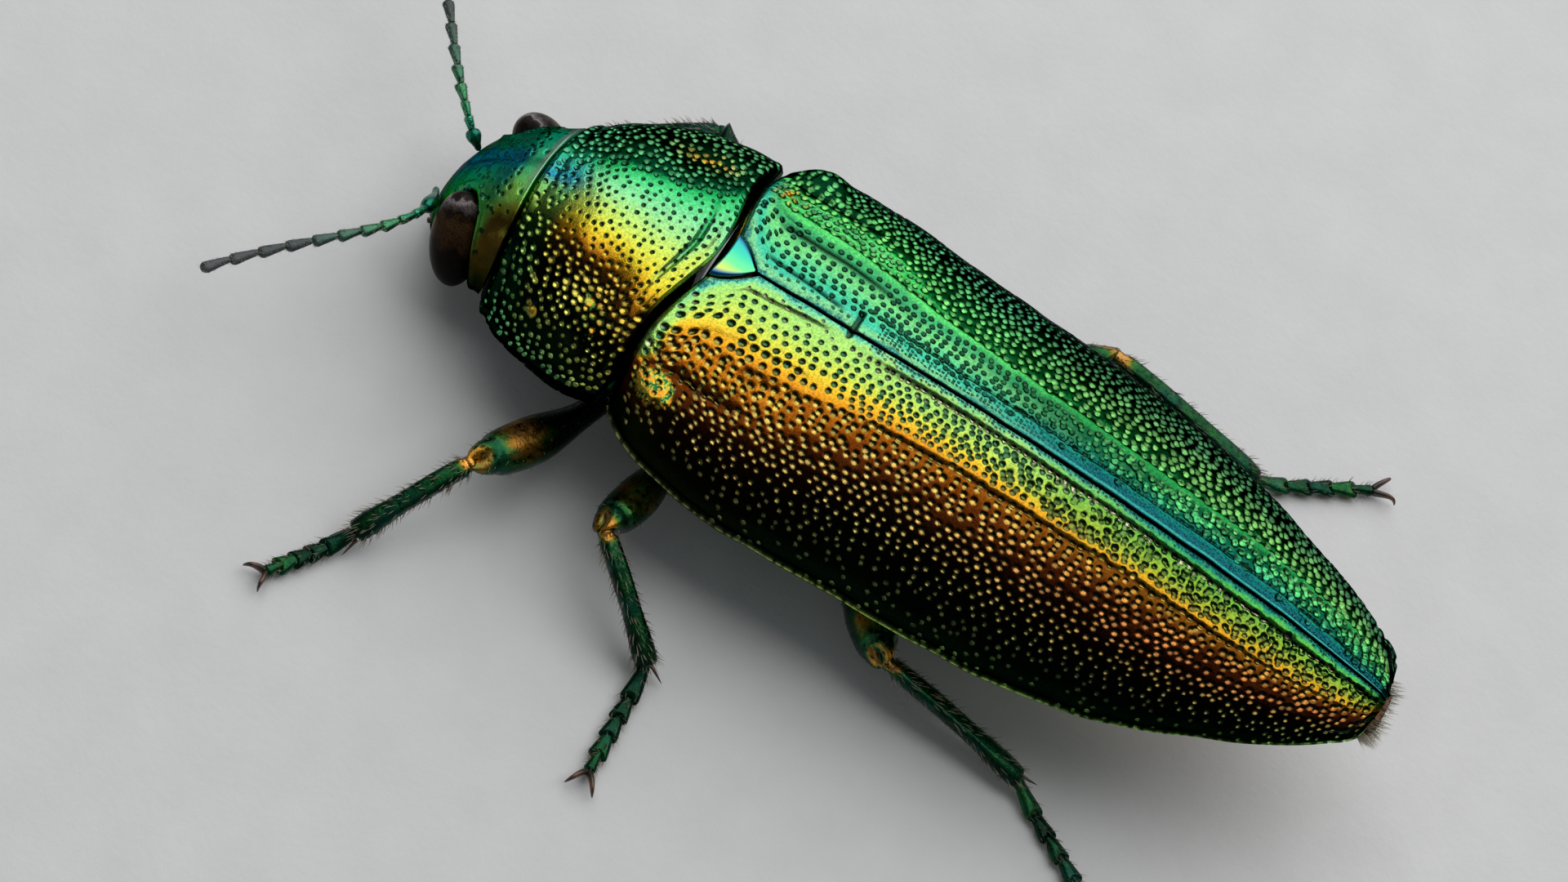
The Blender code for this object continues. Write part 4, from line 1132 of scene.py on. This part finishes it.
def trunk(shell, tufts):
    """The thorax behind the pronotum and the belly's rings, each of which overlaps the next."""
    joints = (9.6, 14.6, 18.8, 22.6, 26.2, 29.9)
    pieces = [("thorax", 0.02, 9.62)]
    pieces += [(f"belly_{k + 1}", joints[k] + 0.02, joints[k + 1] + 0.16 * (k < 4)) for k in range(5)]
    turn = half_turns(40, 170)
    under = ease(-np.sin(turn), 0.0, 0.12)
    for number, (name, start, end) in enumerate(pieces):
        chest, last = number == 0, number == 5
        y = np.linspace(start, end, 130 if chest else 64)[:, None]
        edge = np.minimum(elytra_edge(y) - GAP, elytra_top(y) - 1.05)
        bottom, half = (chest_bottom if chest else belly_bottom)(y), belly_half_width(y)
        x = half * np.cos(turn)
        reach = np.where(np.sin(turn) >= 0, elytra_top(y) - 0.78 - edge, edge - bottom)
        ys = y + (1 - np.clip(y / 9.6, 0, 1)) ** 2 * (base_line(x) + GAP) * chest
        rings = np.stack([x, ys, edge + reach * np.sin(turn)], -1)
        t, out, ax = (y - start) / (end - start), normals(rings), np.abs(x)
        if chest:
            height = -0.07 * bell(x, 0, 0.10) * ease(ys, 1.0, 2.0) - 0.09 * bell(ys - 4.7 - 0.05 * ax, 0, 0.10)
            height -= 0.09 * bell(ys - 7.5 + 0.10 * ax, 0, 0.10) + 0.08 * bell(ax - 4.9 + 0.1 * ys, 0, 0.10)
            height += 0.12 * bell(ys, 6.2, 0.9) * bell(ax, 2.0, 1.2)
        else:
            height = 0.07 * ease(t, 0.80, 0.93) - 0.07 * bell(t, 0.82, 0.03) - 0.10 * ease(t, 0.12, 0.0)
            height = height - 0.05 * bell(ax / half, 0.78, 0.06) * ease(t, 0.15, 0.4)
            height -= 0.35 * ease(t, 0.90, 1.0) ** 2 if last else 0.06 * ease(t, 0.965, 1.0)
        height = (height + 0.03 * waves(x, ys, 2.0, 71 + number)) * under
        draw = np.random.default_rng(81 + number)
        spots = [
            (draw.uniform(3, len(y) - 4), draw.uniform(44, 206), draw.uniform(0.08, 0.15), 0.045, 0, 0)
            for _ in range(1500 if chest else 520)
        ]
        cut, pit, _ = punctures(rings, spots)
        rings = rings + out * (height - cut * under)[..., None]
        grids = {"across": ax / 7.0, "pit": pit * under, "tail": ease(t, 0.35, 0.75) * last, "glow": 0.0}
        limb(f"skin_{name}", rings, shell, **grids)
        lean = np.array([0, 0.9, -0.1])
        below = np.sin(turn) < -0.05
        tufts.add(rings, 700 if chest else 300, (0.20, 0.38), 0.013, lean, draw, (0.08, 0.92), out, below)
        if last:
            tufts.add(rings, 420, (0.40, 0.72), 0.014, np.array([0, 1.2, 0.2]), draw, (0.84, 0.995), out)


def mouth(shell, horn):
    """Upper lip, a pair of jaws, and the jointed palps below them."""
    for side, name in ((1, "left"), (-1, "right")):
        u = np.linspace(0, 1, 40)
        x, y = side * (0.95 * np.cos(u * 1.35) + 0.02), -9.25 - 0.62 * np.sin(u * 1.5)
        path = turned(np.stack([x, y, -4.22 - 0.14 * u], -1))
        size = np.sqrt(np.clip(1 - u**2.4, 0.0005, 1)) * np.sqrt(np.clip(u / 0.1, 0.05, 1))
        limb(f"jaw_{name}", sweep(path, 0.30 * size, 0.24 * size, 30), horn, "jaws", tip=u[:, None])
        parts = []
        for spot, step, segments, wide in PALPS:
            for k in range(segments):
                t, ends = stations(16, 0.2, 0.3)
                path = np.array([spot, -9.05, -4.42]) + np.array(step) * (k + 1.25 * t[:, None]) * 0.9
                thick = wide * (0.75 + 0.35 * t) * ends
                parts.append(loft(sweep(turned(path * (side, 1, 1)), thick, thick, 16)))
        points, faces, number = joined(parts)
        make(f"palps_{name}", points, faces, horn, tip=0 * number + 0.4)
    rings, sphere = ellipsoid(turned((0, -9.72, -3.93)), (0.80, 0.30, 0.16), head_frame(25), 36, 60)
    rings[..., 1] += 0.06 * bell(sphere[..., 0], 0, 0.12) * (sphere[..., 1] < 0)
    rings, pit = pitted(rings, 40, 0.06, 0.02, 77)
    # The lip's under of 0.5 gives it half of the head's painted shade.
    limb("lip", rings, shell, across=0.1, pit=pit, neck=0.0, under=0.5)


def leg_material():
    s = Shader("leg_shell", "leg", roughness=0.26, coat=0.1)
    # Dark green to copper and gold: on thighs and shins the gold is painted highlight on upper faces and knees; on
    # the feet it is each segment's random tone.
    colour = s.ramp(
        s.uneven("glow", 0.5, 0.35), (0, 2, 14, 8), (160, 3, 34, 14), (360, 12, 100, 22), (500, 100, 140, 15),
        (640, 460, 200, 20), (800, 740, 330, 60), (1000, 850, 520, 140),
    )
    colour = s.mix(colour, (0.008, 0.075, 0.055), s.times(s.ranged(s.noise(1.2), 0.45, 0.7), 0.5))
    colour = s.painted_pit_shade(colour, (0.002, 0.010, 0.006), 0.1, 0.5, 0.8)
    colour = s.mix(colour, (0.20, 0.16, 0.09), s.attribute("pad"))
    s.plug(s.out["Metallic"], s.maths("SUBTRACT", 1.0, s.attribute("pad")))
    return s.finish(colour, (0.25, 0.2, 0.36), s.bumps(0.05, 3.0, 0.09, 0.7), 0.008)


def under_material():
    s = Shader("underside_shell", "underside", roughness=0.28, coat=0.1)
    colour = s.ramp(
        s.uneven("across", 0.6, 1.6, 4.0), (0, 420, 130, 30), (250, 360, 200, 30), (450, 120, 240, 30),
        (700, 20, 200, 70), (1000, 6, 70, 40),
    )
    colour = s.painted_pit_shade(colour, (0.004, 0.020, 0.010), 0.15, 0.55, 0.8)
    colour = s.mix(colour, (0.030, 0.024, 0.018), s.times(s.attribute("tail"), 0.85))
    return s.finish(colour, (0.4, 0.24, 0.42), s.bumps(0.06, 3.0, 0.12, 0.7), 0.010)


def horn_material():
    s = Shader("claw_horn", "claw", metallic=0.0, coat=0.4)
    tip = s.uneven("tip", 0.5, 0.25)
    colour = s.ramp(tip, (0, 10, 12, 6), (450, 50, 22, 10), (800, 130, 45, 15), (1000, 20, 10, 6))
    return s.finish(colour, (0.2, 0.22, 0.4), s.noise(0.06), 0.006)


def feeler_material():
    s = Shader("feeler_shell", "feeler", coat=0.1)
    colour = s.ramp(
        s.uneven("along", 0.25, 0.4), (0, 10, 160, 100), (180, 20, 300, 160), (350, 50, 240, 100),
        (520, 50, 130, 90), (700, 50, 65, 65), (1000, 75, 75, 80),
    )
    colour = s.painted_pit_shade(colour, (0.006, 0.012, 0.012), 0.15, 0.6, 0.7)
    along = s.attribute("along")
    s.plug(s.out["Metallic"], s.ranged(along, 0.35, 0.8, 0.95, 0.35))
    return s.finish(colour, s.ranged(along, 0.3, 0.8, 0.28, 0.5), s.bumps(0.05, 3.0, 0.06, 0.6), 0.008)


def hair_material(name, slot, dark, pale):
    s = Shader(name, slot, metallic=0.0, roughness=0.42)
    return s.finish(s.ramp(s.uneven("tip", 0.5, 0.3, 2.0), (0, *dark), (1000, *pale)), (0.1, 0.35, 0.5))


# The camera, floor and lights


def studio():
    target = ORIGIN + np.array([3.595, 5.944, 0]) * MM
    distance = 158.846 * MM
    azimuth, elevation, roll = np.radians([89.943, 56.999, 32.819])
    level = math.cos(elevation)
    back = np.array([math.sin(azimuth) * level, -math.cos(azimuth) * level, math.sin(elevation)])
    right = unit(np.cross(UP, back))
    up = np.cross(back, right)
    axes = right * math.cos(roll) + up * math.sin(roll), up * math.cos(roll) - right * math.sin(roll), back
    camera = link("camera", bpy.data.cameras.new("camera"))
    camera.data.lens = 100
    camera.data.sensor_width = 36
    camera.data.clip_start = 0.01
    camera.matrix_world = Matrix([*np.column_stack([*axes, target + back * distance]).tolist(), (0, 0, 0, 1)])
    bpy.context.scene.camera = camera

    s = Shader("floor_paper", None, metallic=0.0, roughness=0.8)
    colour = s.ramp(s.noise(3.0, 4.0), (300, 720, 720, 710), (700, 760, 760, 750))
    mesh = bpy.data.meshes.new("floor")
    reach = 1.5
    corners = [(-reach, -reach, 0), (reach, -reach, 0), (reach, reach, 0), (-reach, reach, 0)]
    mesh.from_pydata(corners, [], [(0, 1, 2, 3)])
    mesh.materials.append(s.finish(colour, None, s.noise(0.4), 0.02)[0])
    link("floor", mesh)

    world = bpy.data.worlds.new("studio")
    bpy.context.scene.world = world
    world.use_nodes = True
    sky = world.node_tree.nodes["Background"].inputs
    sky["Color"].default_value = (0.9, 0.95, 1.0, 1)
    sky["Strength"].default_value = 0.16
    bpy.context.scene.view_settings.view_transform = "Standard"
    lights = (
        ("key", (-0.196, 0.01, 0.302), (0.62, 0.60), 1.75),
        ("fill", (0.30, -0.25, 0.12), (0.14, 0.14), 0.06),
    )
    for name, spot, size, power in lights:
        lamp = link(name, bpy.data.lights.new(name, "AREA"))
        lamp.data.shape = "RECTANGLE"
        lamp.data.size, lamp.data.size_y = size
        lamp.data.energy = power
        lamp.location = spot
        lamp.rotation_mode = "QUATERNION"
        lamp.rotation_quaternion = Vector(np.array(spot) - (0, 0, 0.004)).to_track_quat("Z", "Y")


elytra_shell = shell_material("elytra_shell", ELYTRA_PLAIN, ELYTRA_PAINTED_GLINTS, REAR_PLAIN, REAR_PAINTED_GLINTS)
for elytron_side in (1, -1):
    elytron(elytron_side, elytra_shell)
prothorax(shell_material("pronotum_shell", PRONOTUM_PLAIN, PRONOTUM_PAINTED_GLINTS, PRONOTUM_FRONT, PRONOTUM_FRONT_PAINTED_GLINTS))
head_shell = head_material()
head(head_shell)
eyes()
scutellum()
horn, leg_shell, under_shell, feeler_shell = horn_material(), leg_material(), under_material(), feeler_material()
leg_hair, under_hair = Tufts(), Tufts()
all_spurs = []
for leg_name in LEGS:
    all_spurs += leg(leg_name, leg_shell, under_shell, horn, leg_hair)
spur_points, spur_faces, spur_number = joined(all_spurs)
make("spurs", spur_points, spur_faces, horn, tip=0 * spur_number + 0.5)
for feeler_name, places in FEELERS.items():
    feeler(feeler_name, places, feeler_shell, under_hair)
trunk(under_shell, under_hair)
mouth(head_shell, horn)
leg_hair.build("hair_legs", hair_material("hair_dark", "leg", (100, 80, 50), (420, 360, 260)))
pale_hair = hair_material("hair_pale", "underside", (300, 250, 180), (720, 660, 540))
under_hair.build("hair_underside", pale_hair)
studio()
